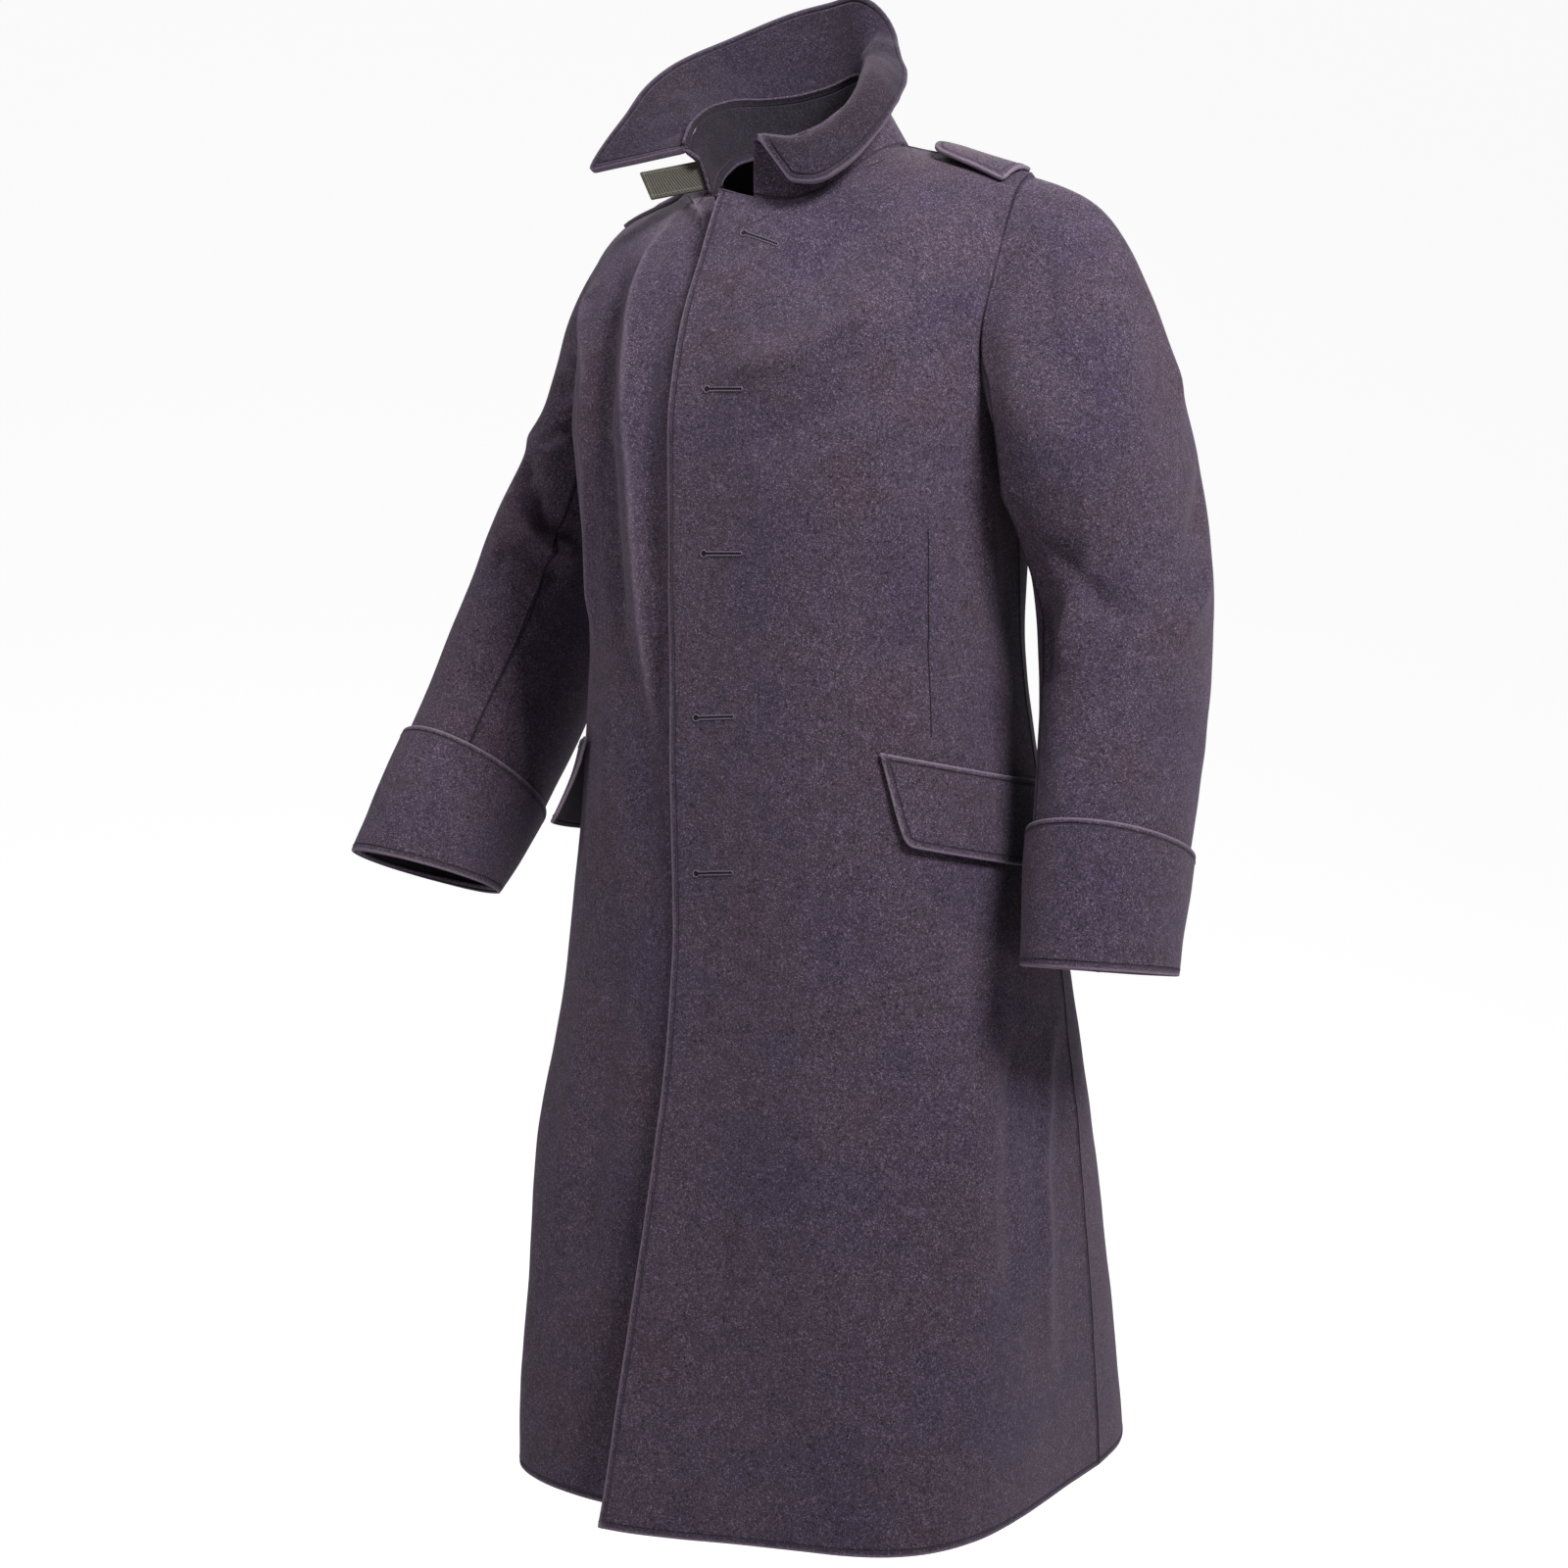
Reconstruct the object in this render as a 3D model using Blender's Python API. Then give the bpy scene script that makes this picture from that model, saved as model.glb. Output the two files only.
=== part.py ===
"""A single-breasted military greatcoat in thick wool melton, standing open and hollow as it is worn.

X points to the wearer's left, Y to the back and Z up. The origin is between the shoulders, where the
wearer carries the coat. Every piece is one wall of cloth, cut as a tailor cuts it.
"""

import math
from collections import namedtuple

import bmesh
import bpy
import numpy as np

# Driving sizes in metres. Heights are measured up from the hem.
SHOULDER_HEIGHT = 1.14
CHEST = 0.92
CLOTH = 0.003
COLLAR_CLOTH = 0.004
SEAM = 0.0003
SEAM_SHARE = 0.75
SLEEVE_SEAM = 0.0008
LAP = 0.0030
LAP_START = 0.045
LAP_RUN = 0.036

# Columns and rows of each wall.
FRONT_COLUMNS = 12
NECK_COLUMN = 6
BACK_COLUMNS = 10
EDGE_CROWDING = 1.25
SHOULDER_COLUMNS = FRONT_COLUMNS - NECK_COLUMN
SKIRT_ROWS = 18
YOKE_ROWS = 10
SLEEVE_HEAD_ROWS = 5
SLEEVE_ROWS = 10
CUFF_ROWS = 4
UNDER_SLEEVE_STEPS = 3
DENSE = 121

# The body below the chest line: one row for each level section.
Section = namedtuple("Section", "height half_width side_y front_y back_y squareness")
BODY = [
    Section(0.00, 0.236, 0.000, -0.222, 0.250, 4.0),
    Section(0.12, 0.243, -0.002, -0.214, 0.222, 3.4),
    Section(0.30, 0.240, -0.010, -0.200, 0.185, 2.9),
    Section(0.44, 0.229, -0.012, -0.190, 0.168, 2.5),
    Section(0.635, 0.204, -0.020, -0.190, 0.150, 2.3),
    Section(0.74, 0.196, -0.030, -0.190, 0.130, 2.2),
    Section(0.86, 0.201, -0.030, -0.192, 0.134, 2.4),
    Section(0.92, 0.207, -0.030, -0.190, 0.136, 2.5),
]

# The edge of the left front and how far it swings forward below the hips.
Edge = namedtuple("Edge", "height x swing")
FRONT_EDGE = [
    Edge(0.00, -0.058, 0.044),
    Edge(0.12, -0.050, 0.026),
    Edge(0.30, -0.037, 0.010),
    Edge(0.44, -0.031, 0.000),
    Edge(0.70, -0.030, 0.000),
    Edge(0.92, -0.030, 0.000),
]
SWING_REACH = 0.19

# How far the left front's top corner rises past the collar's end, and how that fades row by row.
CORNER_RISE = 0.019
CORNER_ROWS = 5

# The side seam's angle round the body.
Seam = namedtuple("Seam", "height angle")
SIDE_SEAM = [
    Seam(0.00, 98.0),
    Seam(0.30, 98.2),
    Seam(0.43, 99.5),
    Seam(0.63, 105.0),
    Seam(0.76, 103.0),
    Seam(0.92, 90.0),
]

# The shoulder line, from the middle of the neck out past the sleeve head.
Ridge = namedtuple("Ridge", "x y height")
SHOULDER_LINE = [
    Ridge(0.000, 0.000, 1.200),
    Ridge(0.078, 0.002, 1.166),
    Ridge(0.115, 0.007, 1.158),
    Ridge(0.150, 0.012, 1.149),
    Ridge(0.195, 0.019, 1.136),
    Ridge(0.215, 0.020, 1.129),
]
RIDGE_REACH = 0.215
NECK_HALF_WIDTH = 0.078
NECK_SQUARENESS = 2.8
NECK_FRONT_Y = -0.115
NECK_BACK_Y = 0.065
NECK_EDGE_SHARE = 0.2
FRONT_ROUNDNESS = 1.64
BACK_ROUNDNESS = 2.95

# The armhole on the front and on the back: the rise from chest line to shoulder line, and the angle there.
Armhole = namedtuple("Armhole", "rise front_angle back_angle")
ARMHOLE = [
    Armhole(0.00, 90.0, 90.0),
    Armhole(0.05, 83.0, 97.0),
    Armhole(0.15, 77.0, 104.0),
    Armhole(0.35, 72.0, 110.0),
    Armhole(0.65, 71.0, 112.0),
    Armhole(0.90, 66.5, 114.5),
    Armhole(1.00, 62.3, 117.7),
]

# Each arm's middle line and the sleeve's half sizes across it, from the underarm to the wrist.
Arm = namedtuple("Arm", "height x y half_side half_front")
LEFT_ARM = [
    Arm(0.900, 0.273, 0.009, 0.065, 0.108),
    Arm(0.790, 0.280, 0.030, 0.071, 0.100),
    Arm(0.700, 0.287, 0.020, 0.066, 0.094),
    Arm(0.600, 0.293, -0.012, 0.062, 0.088),
    Arm(0.480, 0.302, -0.055, 0.058, 0.080),
]
RIGHT_ARM = [
    Arm(0.900, 0.266, 0.030, 0.054, 0.088),
    Arm(0.800, 0.303, 0.020, 0.066, 0.098),
    Arm(0.710, 0.325, -0.010, 0.066, 0.094),
    Arm(0.620, 0.338, -0.062, 0.062, 0.088),
    Arm(0.523, 0.350, -0.130, 0.058, 0.080),
]
LEFT_HEAD_SLOPE = 0.05
RIGHT_HEAD_SLOPE = 0.80
HEAD_FULLNESS = 1.15
HEAD_SMOOTHING = 3
UNDERARM_WAY = (0.25, 0.0, -0.95)
CUFF_DEPTH = 0.112
CUFF_GAP = 0.0008
CUFF_FLARE = 0.0015
CUFF_TURN = 0.002

# The largest folds: a ridge, or with a negative lift a trough, that swells from its first point on.
FOLD_START = 0.35
Fold = namedtuple("Fold", "x1 y1 z1 x2 y2 z2 width lift")
BODY_FOLDS = [
    Fold(-0.085, -0.020, 1.160, -0.205, -0.020, 1.135, 0.060, -0.013),
    Fold(-0.165, -0.010, 1.14, -0.205, -0.075, 1.03, 0.050, 0.008),
    Fold(-0.066, -0.125, 1.09, -0.088, -0.180, 0.99, 0.020, 0.009),
    Fold(-0.088, -0.180, 0.99, -0.084, -0.190, 0.74, 0.020, 0.009),
    Fold(0.215, -0.080, 0.46, 0.215, -0.110, 0.14, 0.028, 0.010),
    Fold(0.232, -0.020, 0.42, 0.240, -0.010, 0.10, 0.026, -0.007),
    Fold(-0.198, -0.120, 0.42, -0.206, -0.185, 0.00, 0.036, 0.012),
    Fold(0.090, 0.165, 0.48, 0.120, 0.235, 0.00, 0.034, 0.011),
    Fold(-0.080, 0.165, 0.52, -0.105, 0.240, 0.00, 0.036, 0.010),
    Fold(0.020, 0.165, 0.44, 0.010, 0.250, 0.00, 0.034, -0.009),
]
LEFT_FOLDS = [
    Fold(0.232, -0.092, 0.985, 0.236, -0.088, 0.840, 0.034, 0.015),
    Fold(0.300, -0.085, 0.86, 0.235, -0.060, 0.76, 0.016, -0.007),
    Fold(0.330, -0.050, 0.80, 0.250, -0.085, 0.70, 0.018, 0.006),
]
RIGHT_FOLDS = [
    Fold(-0.352, 0.010, 1.010, -0.240, -0.085, 0.985, 0.014, -0.009),
    Fold(-0.330, -0.040, 0.94, -0.240, -0.075, 0.90, 0.017, -0.008),
    Fold(-0.335, -0.060, 0.88, -0.250, -0.080, 0.82, 0.018, 0.008),
    Fold(-0.360, -0.060, 0.80, -0.270, -0.090, 0.76, 0.016, -0.006),
]

# The collar at stations round the neck, as degrees from its left front end to its right front end.
# Lean is from upright, and heading is the way that the piece leans: 0 is +X and 90 is to the back.
Collar = namedtuple("Collar", "station fold stand_lean stand_heading fall_lean fall_heading length")
COLLAR = [
    Collar(0, 0.045, 3, -60, 138, -5, 0.102),
    Collar(45, 0.050, -4, -20, 148, -15, 0.092),
    Collar(90, 0.078, -30, 0, 138, 5, 0.120),
    Collar(120, 0.086, -28, 30, 114, 40, 0.118),
    Collar(150, 0.080, -12, 80, 90, 80, 0.106),
    Collar(180, 0.055, 2, 90, 8, 92, 0.119),
    Collar(205, 0.045, 8, 115, 18, 120, 0.131),
    Collar(225, 0.045, 10, 135, 25, 148, 0.134),
    Collar(250, 0.045, 14, 165, 40, 180, 0.121),
    Collar(280, 0.042, 20, 185, 66, 195, 0.114),
    Collar(305, 0.040, 20, 190, 89, 192, 0.118),
    Collar(320, 0.038, 18, 190, 98, 185, 0.144),
]
STAND = 0.045
NECK_DEPTH = 0.095
COLLAR_LEFT_COLUMN = 1
COLLAR_RIGHT_COLUMN = 3
STAND_ROWS = 3
FALL_ROWS = 9
ROLL = 0.014

# Pocket flaps, sewn along their upper edge. Slant is how far the front edge runs back as it falls.
FLAP_FRONT_ANGLE = 44.0
FLAP_BACK_ANGLE = 103.0
FLAP_TOP_FRONT = 0.658
FLAP_TOP_BACK = 0.622
FLAP_DEPTH = 0.077
FLAP_SLANT = 4.5
FLAP_GAP = 0.0012
FLAP_COLUMNS = 14
FLAP_ROWS = 4
LEFT_FLAP_STAND_OFF = 0.003
RIGHT_FLAP_STAND_OFF = 0.022

# Shoulder straps, sewn into the sleeve head and free towards the neck.
STRAP_INNER_X = 0.114
STRAP_OUTER_X = 0.189
STRAP_DEPTH = 0.054
LEFT_STRAP_BACK_Y = 0.034
RIGHT_STRAP_BACK_Y = 0.012
RIGHT_STRAP_RAISE = 0.0015
STRAP_POINT = 0.010
STRAP_SEWN_LIFT = 0.0062
STRAP_FREE_LIFT = 0.010
STRAP_COLUMNS = 6
STRAP_ROWS = 5

# The throat tab, sewn to the stand by its inner end: where on the stand, then its free end's corners.
TAB_ROOT_COLUMN = 0.4
TAB_ROOT_ROWS = (0.15, 1.9)
TAB_LOW_END = (-0.100, -0.117, 1.119)
TAB_HIGH_END = (-0.116, -0.112, 1.143)
TAB_COLUMNS = 4
TAB_ROWS = 2

# Colours as sRGB.
MELTON = (0.30, 0.265, 0.325)
DRILL = (0.40, 0.385, 0.36)


def linear(srgb):
    """An sRGB colour as linear light."""
    return [c / 12.92 if c <= 0.04045 else ((c + 0.055) / 1.055) ** 2.4 for c in srgb]


def through(rows, key, column, at):
    """A smooth curve through one column of a table, read at the given places."""
    places = np.array([getattr(row, key) for row in rows], float)
    values = np.array([getattr(row, column) for row in rows], float)
    slopes = np.gradient(values, places)
    at = np.clip(np.asarray(at, float), places[0], places[-1])
    k = np.clip(np.searchsorted(places, at, side="right") - 1, 0, len(places) - 2)
    width = places[k + 1] - places[k]
    t = (at - places[k]) / width
    start = (1 + 2 * t) * (1 - t) ** 2 * values[k] + t * (1 - t) ** 2 * width * slopes[k]
    end = t**2 * (3 - 2 * t) * values[k + 1] + t**2 * (t - 1) * width * slopes[k + 1]
    return start + end


def ease(t):
    """Zero to one with level ends."""
    t = np.clip(t, 0.0, 1.0)
    return t * t * (3 - 2 * t)


def unit(vectors):
    return vectors / np.linalg.norm(vectors, axis=-1, keepdims=True)


def even_places(points, count, crowding=1.0):
    """Indices, with fractions, of count + 1 points along a dense line, closer at its start if crowded."""
    steps = np.linalg.norm(np.diff(points, axis=0), axis=1)
    lengths = np.concatenate([[0.0], np.cumsum(steps)])
    wanted = lengths[-1] * np.linspace(0, 1, count + 1) ** crowding
    return np.interp(wanted, lengths, np.arange(len(points)))


def pick(values, places):
    """Values of a dense line, one or several columns, at fractional indices."""
    index = np.arange(len(values))
    if values.ndim == 1:
        return np.interp(places, index, values)
    return np.stack([np.interp(places, index, column) for column in values.T], axis=-1)


def section(height, angle):
    """The body at a height. Angle 0 is the front middle, 90 the left side and 180 the back middle."""
    half_width, side_y, front_y, back_y, squareness = (
        through(BODY, "height", column, height) for column in Section._fields[1:]
    )
    sine, cosine = np.sin(np.radians(angle)), np.cos(np.radians(angle))
    depth = np.where(cosine >= 0, side_y - front_y, back_y - side_y)
    x = half_width * np.sign(sine) * np.abs(sine) ** (2 / squareness)
    y = side_y - depth * np.sign(cosine) * np.abs(cosine) ** (2 / squareness)
    return np.stack([x, y, np.broadcast_to(height, x.shape)], axis=-1)


def yoke(angle, rise, front):
    """The coat between the chest line, rise 0, and the shoulder line, rise 1."""
    angle, rise = np.broadcast_arrays(np.asarray(angle, float), np.clip(rise, 0.0, 1.0))
    chest = section(np.full(angle.shape, CHEST), angle)
    sine = np.sin(np.radians(angle))
    ridge_x = RIDGE_REACH * np.sign(sine) * np.abs(sine) ** (2 / BODY[-1].squareness)
    ridge_y = through(SHOULDER_LINE, "x", "y", np.abs(ridge_x))
    ridge_z = through(SHOULDER_LINE, "x", "height", np.abs(ridge_x))
    power = FRONT_ROUNDNESS if front else BACK_ROUNDNESS
    x = chest[..., 0] + (ridge_x - chest[..., 0]) * ease(rise)
    y = ridge_y + (chest[..., 1] - ridge_y) * (1 - rise**power) ** (1 / power)
    z = CHEST + (ridge_z - CHEST) * rise
    return np.stack([x, y, z], axis=-1)


def ridge_angle(x, front):
    """The angle whose place on the shoulder line is x."""
    angle = np.degrees(np.arcsin(np.clip(np.abs(x) / RIDGE_REACH, 0, 1) ** (BODY[-1].squareness / 2)))
    angle = np.sign(x) * angle
    return angle if front else 180.0 - angle


def neck_rise(x, front):
    """The rise of the neck seam where its place on the shoulder line is x."""
    power = FRONT_ROUNDNESS if front else BACK_ROUNDNESS
    chest_y = section(np.full(np.shape(x), CHEST), ridge_angle(x, front))[..., 1]
    ridge_y = through(SHOULDER_LINE, "x", "y", np.abs(x))
    side_y = SHOULDER_LINE[1].y
    squareness = NECK_SQUARENESS if front else 2.0
    share = np.clip(np.maximum(x, 0) / NECK_HALF_WIDTH, 0, 1)
    reach = (1 - share**squareness) ** (1 / squareness)
    middle_y = NECK_FRONT_Y if front else NECK_BACK_Y
    seam_y = side_y + (middle_y - side_y) * reach
    share = np.clip((seam_y - ridge_y) / (chest_y - ridge_y), 0, 1)
    return (1 - share**power) ** (1 / power)


def neck_seam(x, front):
    """Points of the neck seam."""
    return yoke(ridge_angle(x, front), neck_rise(x, front), front)


def filled(bottom, top, start, end):
    """A grid of (angle, rise) between its four sides."""
    u = np.linspace(0, 1, len(bottom))[None, :, None]
    w = np.linspace(0, 1, len(start))[:, None, None]
    sides = (1 - u) * start[:, None] + u * end[:, None]
    ends = (1 - w) * bottom[None] + w * top[None]
    corners = (1 - w) * ((1 - u) * bottom[0] + u * bottom[-1]) + w * ((1 - u) * top[0] + u * top[-1])
    return sides + ends - corners


def domain_line(angle, rise, front, count, crowding=1.0):
    """A line on the yoke as (angle, rise) pairs."""
    places = even_places(yoke(angle, rise, front), count, crowding)
    return np.stack([pick(angle, places), pick(rise, places)], axis=-1)


def armhole_line(front):
    """The armhole as (angle, rise) pairs, from the underarm up to the shoulder tip."""
    rise = np.linspace(0, 1, DENSE) ** 1.5
    angle = through(ARMHOLE, "rise", "front_angle" if front else "back_angle", rise)
    return domain_line(angle, rise, front, YOKE_ROWS)


def neck_line(x_start, x_end, front, count):
    """The neck seam as (angle, rise) pairs."""
    turn = np.linspace(0, 1, DENSE)
    low = min(x_start, 0.0)
    turned = np.arcsin(np.clip(x_end / NECK_HALF_WIDTH, 0, 1))
    edge_share = NECK_EDGE_SHARE if low < 0 else 0.0
    past_middle = low * (1 - turn / NECK_EDGE_SHARE)
    beyond = NECK_HALF_WIDTH * np.sin(turned * (turn - edge_share) / (1 - edge_share))
    x = np.where(turn < edge_share, past_middle, beyond)
    return domain_line(ridge_angle(x, front), neck_rise(x, front), front, count)


def shoulder_line(front, count):
    """The shoulder seam as (angle, rise) pairs, from the neck out to the shoulder tip."""
    tip = ARMHOLE[-1].front_angle if front else ARMHOLE[-1].back_angle
    neck = ridge_angle(NECK_HALF_WIDTH, front)
    return domain_line(np.linspace(neck, tip, DENSE), np.ones(DENSE), front, count)


def side_seam(height):
    return through(SIDE_SEAM, "height", "angle", height)


def edge_angle(x, height):
    """The angle of the front edge, which lies past the front middle."""
    half_width = through(BODY, "height", "half_width", height)
    squareness = through(BODY, "height", "squareness", height)
    return -np.degrees(np.arcsin((abs(x) / half_width) ** (squareness / 2)))


def swung(points):
    """The left front's skirt, which swings forward towards its edge."""
    height = points[..., 2]
    swing = through(FRONT_EDGE, "height", "swing", height)
    edge_x = through(FRONT_EDGE, "height", "x", height)
    near = ease((edge_x + SWING_REACH - points[..., 0]) / SWING_REACH)
    moved = points.copy()
    moved[..., 1] -= swing * near * (points[..., 1] < 0)
    return moved


def front_panel(swings):
    """A front in the left side's place: rows from the hem up, columns from the front edge outwards."""
    rows = []
    for height in np.linspace(0, CHEST, SKIRT_ROWS + 1):
        edge_x = through(FRONT_EDGE, "height", "x", height)
        angles = np.linspace(edge_angle(edge_x, height), side_seam(height), DENSE)
        line = section(np.full(DENSE, height), angles)
        line = swung(line) if swings else line
        rows.append(pick(line, even_places(line, FRONT_COLUMNS, EDGE_CROWDING)))
    edge_x = FRONT_EDGE[-1].x
    chest_angles = np.linspace(edge_angle(edge_x, CHEST), SIDE_SEAM[-1].angle, DENSE)
    bottom = domain_line(chest_angles, np.zeros(DENSE), True, FRONT_COLUMNS, EDGE_CROWDING)
    neck = neck_line(edge_x, NECK_HALF_WIDTH, True, NECK_COLUMN)
    shoulder = shoulder_line(True, SHOULDER_COLUMNS)
    top = np.concatenate([neck, shoulder[1:]])
    rises = np.linspace(0, top[0][1], DENSE)
    start = domain_line(np.linspace(bottom[0][0], top[0][0], DENSE), rises, True, YOKE_ROWS)
    grid = filled(bottom, top, start, armhole_line(True))
    upper = yoke(grid[..., 0], grid[..., 1], True)
    return np.concatenate([np.stack(rows), upper[1:]])


def back_panel():
    """A back in the left side's place: columns from the side seam to the back seam."""
    rows = []
    for height in np.linspace(0, CHEST, SKIRT_ROWS + 1):
        angles = np.linspace(side_seam(height), 180.0, DENSE)
        line = section(np.full(DENSE, height), angles)
        rows.append(pick(line, even_places(line, BACK_COLUMNS)))
    bottom = domain_line(np.linspace(SIDE_SEAM[-1].angle, 180, DENSE), np.zeros(DENSE), False, BACK_COLUMNS)
    shoulder = shoulder_line(False, SHOULDER_COLUMNS)[::-1]
    neck = neck_line(0.0, NECK_HALF_WIDTH, False, BACK_COLUMNS - SHOULDER_COLUMNS)[::-1]
    top = np.concatenate([shoulder, neck[1:]])
    end = domain_line(np.full(DENSE, 180.0), np.linspace(0, top[-1][1], DENSE), False, YOKE_ROWS)
    grid = filled(bottom, top, armhole_line(False), end)
    upper = yoke(grid[..., 0], grid[..., 1], False)
    return np.concatenate([np.stack(rows), upper[1:]])


def normals_of(grid, closed=False):
    """Outward directions at a grid whose columns run anticlockwise seen from above and rows run up."""
    if closed:
        along = np.roll(grid, -1, axis=1) - np.roll(grid, 1, axis=1)
    else:
        along = np.gradient(grid, axis=1)
    return unit(np.cross(along, np.gradient(grid, axis=0)))


def lifted(points, normals, folds):
    """Points moved out along the folds."""
    moved = points.copy()
    for fold in folds:
        start = np.array([fold.x1, fold.y1, fold.z1])
        run = np.array([fold.x2, fold.y2, fold.z2]) - start
        share = np.clip((points - start) @ run / (run @ run), 0, 1)
        away = np.linalg.norm(points - start - share[..., None] * run, axis=-1)
        lift = fold.lift * ease(share / FOLD_START) * np.exp(-((away / fold.width) ** 2))
        moved += normals * lift[..., None]
    return moved


def mirrored(points):
    """Points on the other side, columns kept in order."""
    return points * np.array([-1.0, 1.0, 1.0])


def parted(grid, normals, sides, seam=SEAM):
    """A grid drawn back from its seams, square to them. Sides are any of start, end, bottom and top."""
    moved = grid.copy()
    inwards = {
        "start": (np.s_[:, 0], np.s_[:, 1]),
        "end": (np.s_[:, -1], np.s_[:, -2]),
        "bottom": (np.s_[0], np.s_[1]),
        "top": (np.s_[-1], np.s_[-2]),
    }
    for side in sides:
        edge, inner = inwards[side]
        away = unit(np.cross(normals[edge], np.gradient(grid[edge], axis=0)))
        away *= np.sign(np.sum(away * (grid[inner] - grid[edge]), axis=-1, keepdims=True))
        moved[edge] += away * seam * SEAM_SHARE
    return moved


def cloth(name, outer, normals, thickness, material):
    """One wall of cloth: an outer grid, and an inner layer drawn in along the directions given."""
    rows, columns = outer.shape[:2]
    mesh_builder = bmesh.new()
    place = mesh_builder.verts.layers.int.new("place")
    bmesh.ops.create_grid(mesh_builder, x_segments=columns - 1, y_segments=rows - 1, size=1.0)
    mesh_builder.verts.ensure_lookup_table()
    flat_outer = outer.reshape(-1, 3)
    flat_inner = (outer - normals * thickness).reshape(-1, 3)
    drop = np.array([0.0, 0.0, SHOULDER_HEIGHT])
    for index, vertex in enumerate(mesh_builder.verts):
        vertex[place] = index
        vertex.co = flat_outer[index] - drop
    made = bmesh.ops.extrude_face_region(mesh_builder, geom=mesh_builder.faces[:], use_keep_orig=True)
    for item in made["geom"]:
        if isinstance(item, bmesh.types.BMVert):
            item.co = flat_inner[item[place]] - drop
    bmesh.ops.recalc_face_normals(mesh_builder, faces=mesh_builder.faces[:])
    mesh = bpy.data.meshes.new(name)
    mesh_builder.to_mesh(mesh)
    mesh_builder.free()
    mesh.shade_smooth()
    mesh.set_sharp_from_angle(angle=math.radians(50))
    mesh.materials.append(material)
    piece = bpy.data.objects.new(name, mesh)
    bpy.data.collections["greatcoat"].objects.link(piece)
    return piece


def fabric(name, srgb, roughness):
    """A plain woollen or cotton surface."""
    material = bpy.data.materials.new(name)
    material.use_nodes = True
    shader = material.node_tree.nodes["Principled BSDF"]
    shader.inputs["Base Color"].default_value = (*linear(srgb), 1.0)
    shader.inputs["Roughness"].default_value = roughness
    shader.inputs["Metallic"].default_value = 0.0
    return material


def arm_frame(arm, height):
    """Middle, outward and forward directions of the sleeve at a height, in the left side's place."""
    middle = np.stack([through(arm, "height", c, height) for c in ("x", "y")] + [height], axis=-1)
    step = 0.005
    above = np.stack([through(arm, "height", c, height + step) for c in ("x", "y")] + [height + step], -1)
    below = np.stack([through(arm, "height", c, height - step) for c in ("x", "y")] + [height - step], -1)
    up = unit(above - below)
    up = np.where(np.isfinite(up), up, 0)
    front = np.array([0.0, -1.0, 0.0]) - up * (-up[..., 1:2])
    front = unit(front)
    outward = unit(np.cross(front, up))
    return middle, outward * np.sign(outward[..., :1]), front


def sleeve_rings(arm, armhole, turns, head_slope):
    """A sleeve in the left side's place: rows from the armhole down to the wrist, columns round it."""
    rows = arm[::-1]
    heights = np.linspace(arm[0].height, arm[-1].height, SLEEVE_ROWS + 1)
    rings = []
    for height in heights:
        middle, outward, front = arm_frame(rows, height)
        half_side = through(rows, "height", "half_side", height)
        half_front = through(rows, "height", "half_front", height)
        ring = middle + outward * half_side * np.cos(turns)[:, None] + front * half_front * np.sin(turns)[:, None]
        rings.append(ring)
    down = unit(rings[1] - rings[0])
    inner = ((1 - np.cos(turns)) / 2)[:, None] ** 2
    leaving = unit(np.array([1.0, 0.0, -head_slope]) * (1 - inner) + np.array(UNDERARM_WAY) * inner)
    reach = np.linalg.norm(rings[0] - armhole, axis=1)[:, None] * HEAD_FULLNESS
    head = []
    for t in np.linspace(0, 1, SLEEVE_HEAD_ROWS + 1)[:-1]:
        blend = (1 + 2 * t) * (1 - t) ** 2 * armhole + t**2 * (3 - 2 * t) * rings[0]
        bend = t * (1 - t) ** 2 * reach * leaving + t**2 * (t - 1) * reach * down
        head.append(blend + bend)
    return np.stack(head + rings)


def armhole_turns():
    """The angle round the sleeve of each armhole point, from the shoulder tip forwards round."""
    steps = np.linspace(math.pi, 0, YOKE_ROWS + 1)
    return np.concatenate([steps[::-1], 2 * math.pi - steps[1:-1]])


def armhole_loop(front, back):
    """The armhole's points from the shoulder tip down the front and up the back."""
    front_edge = front[SKIRT_ROWS:, -1]
    back_edge = back[SKIRT_ROWS:, 0]
    return np.concatenate([front_edge[::-1], back_edge[1:-1]])


def neck_points(ends):
    """The neck seam's points from the collar's left end round the back to its right end."""
    (left, left_back), (right, right_back) = ends["left"], ends["right"]
    return np.concatenate([
        left[-1, COLLAR_LEFT_COLUMN : NECK_COLUMN + 1],
        left_back[-1, SHOULDER_COLUMNS + 1 :],
        right_back[-1, SHOULDER_COLUMNS:-1][::-1],
        right[-1, COLLAR_RIGHT_COLUMN:NECK_COLUMN][::-1],
    ])


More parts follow.
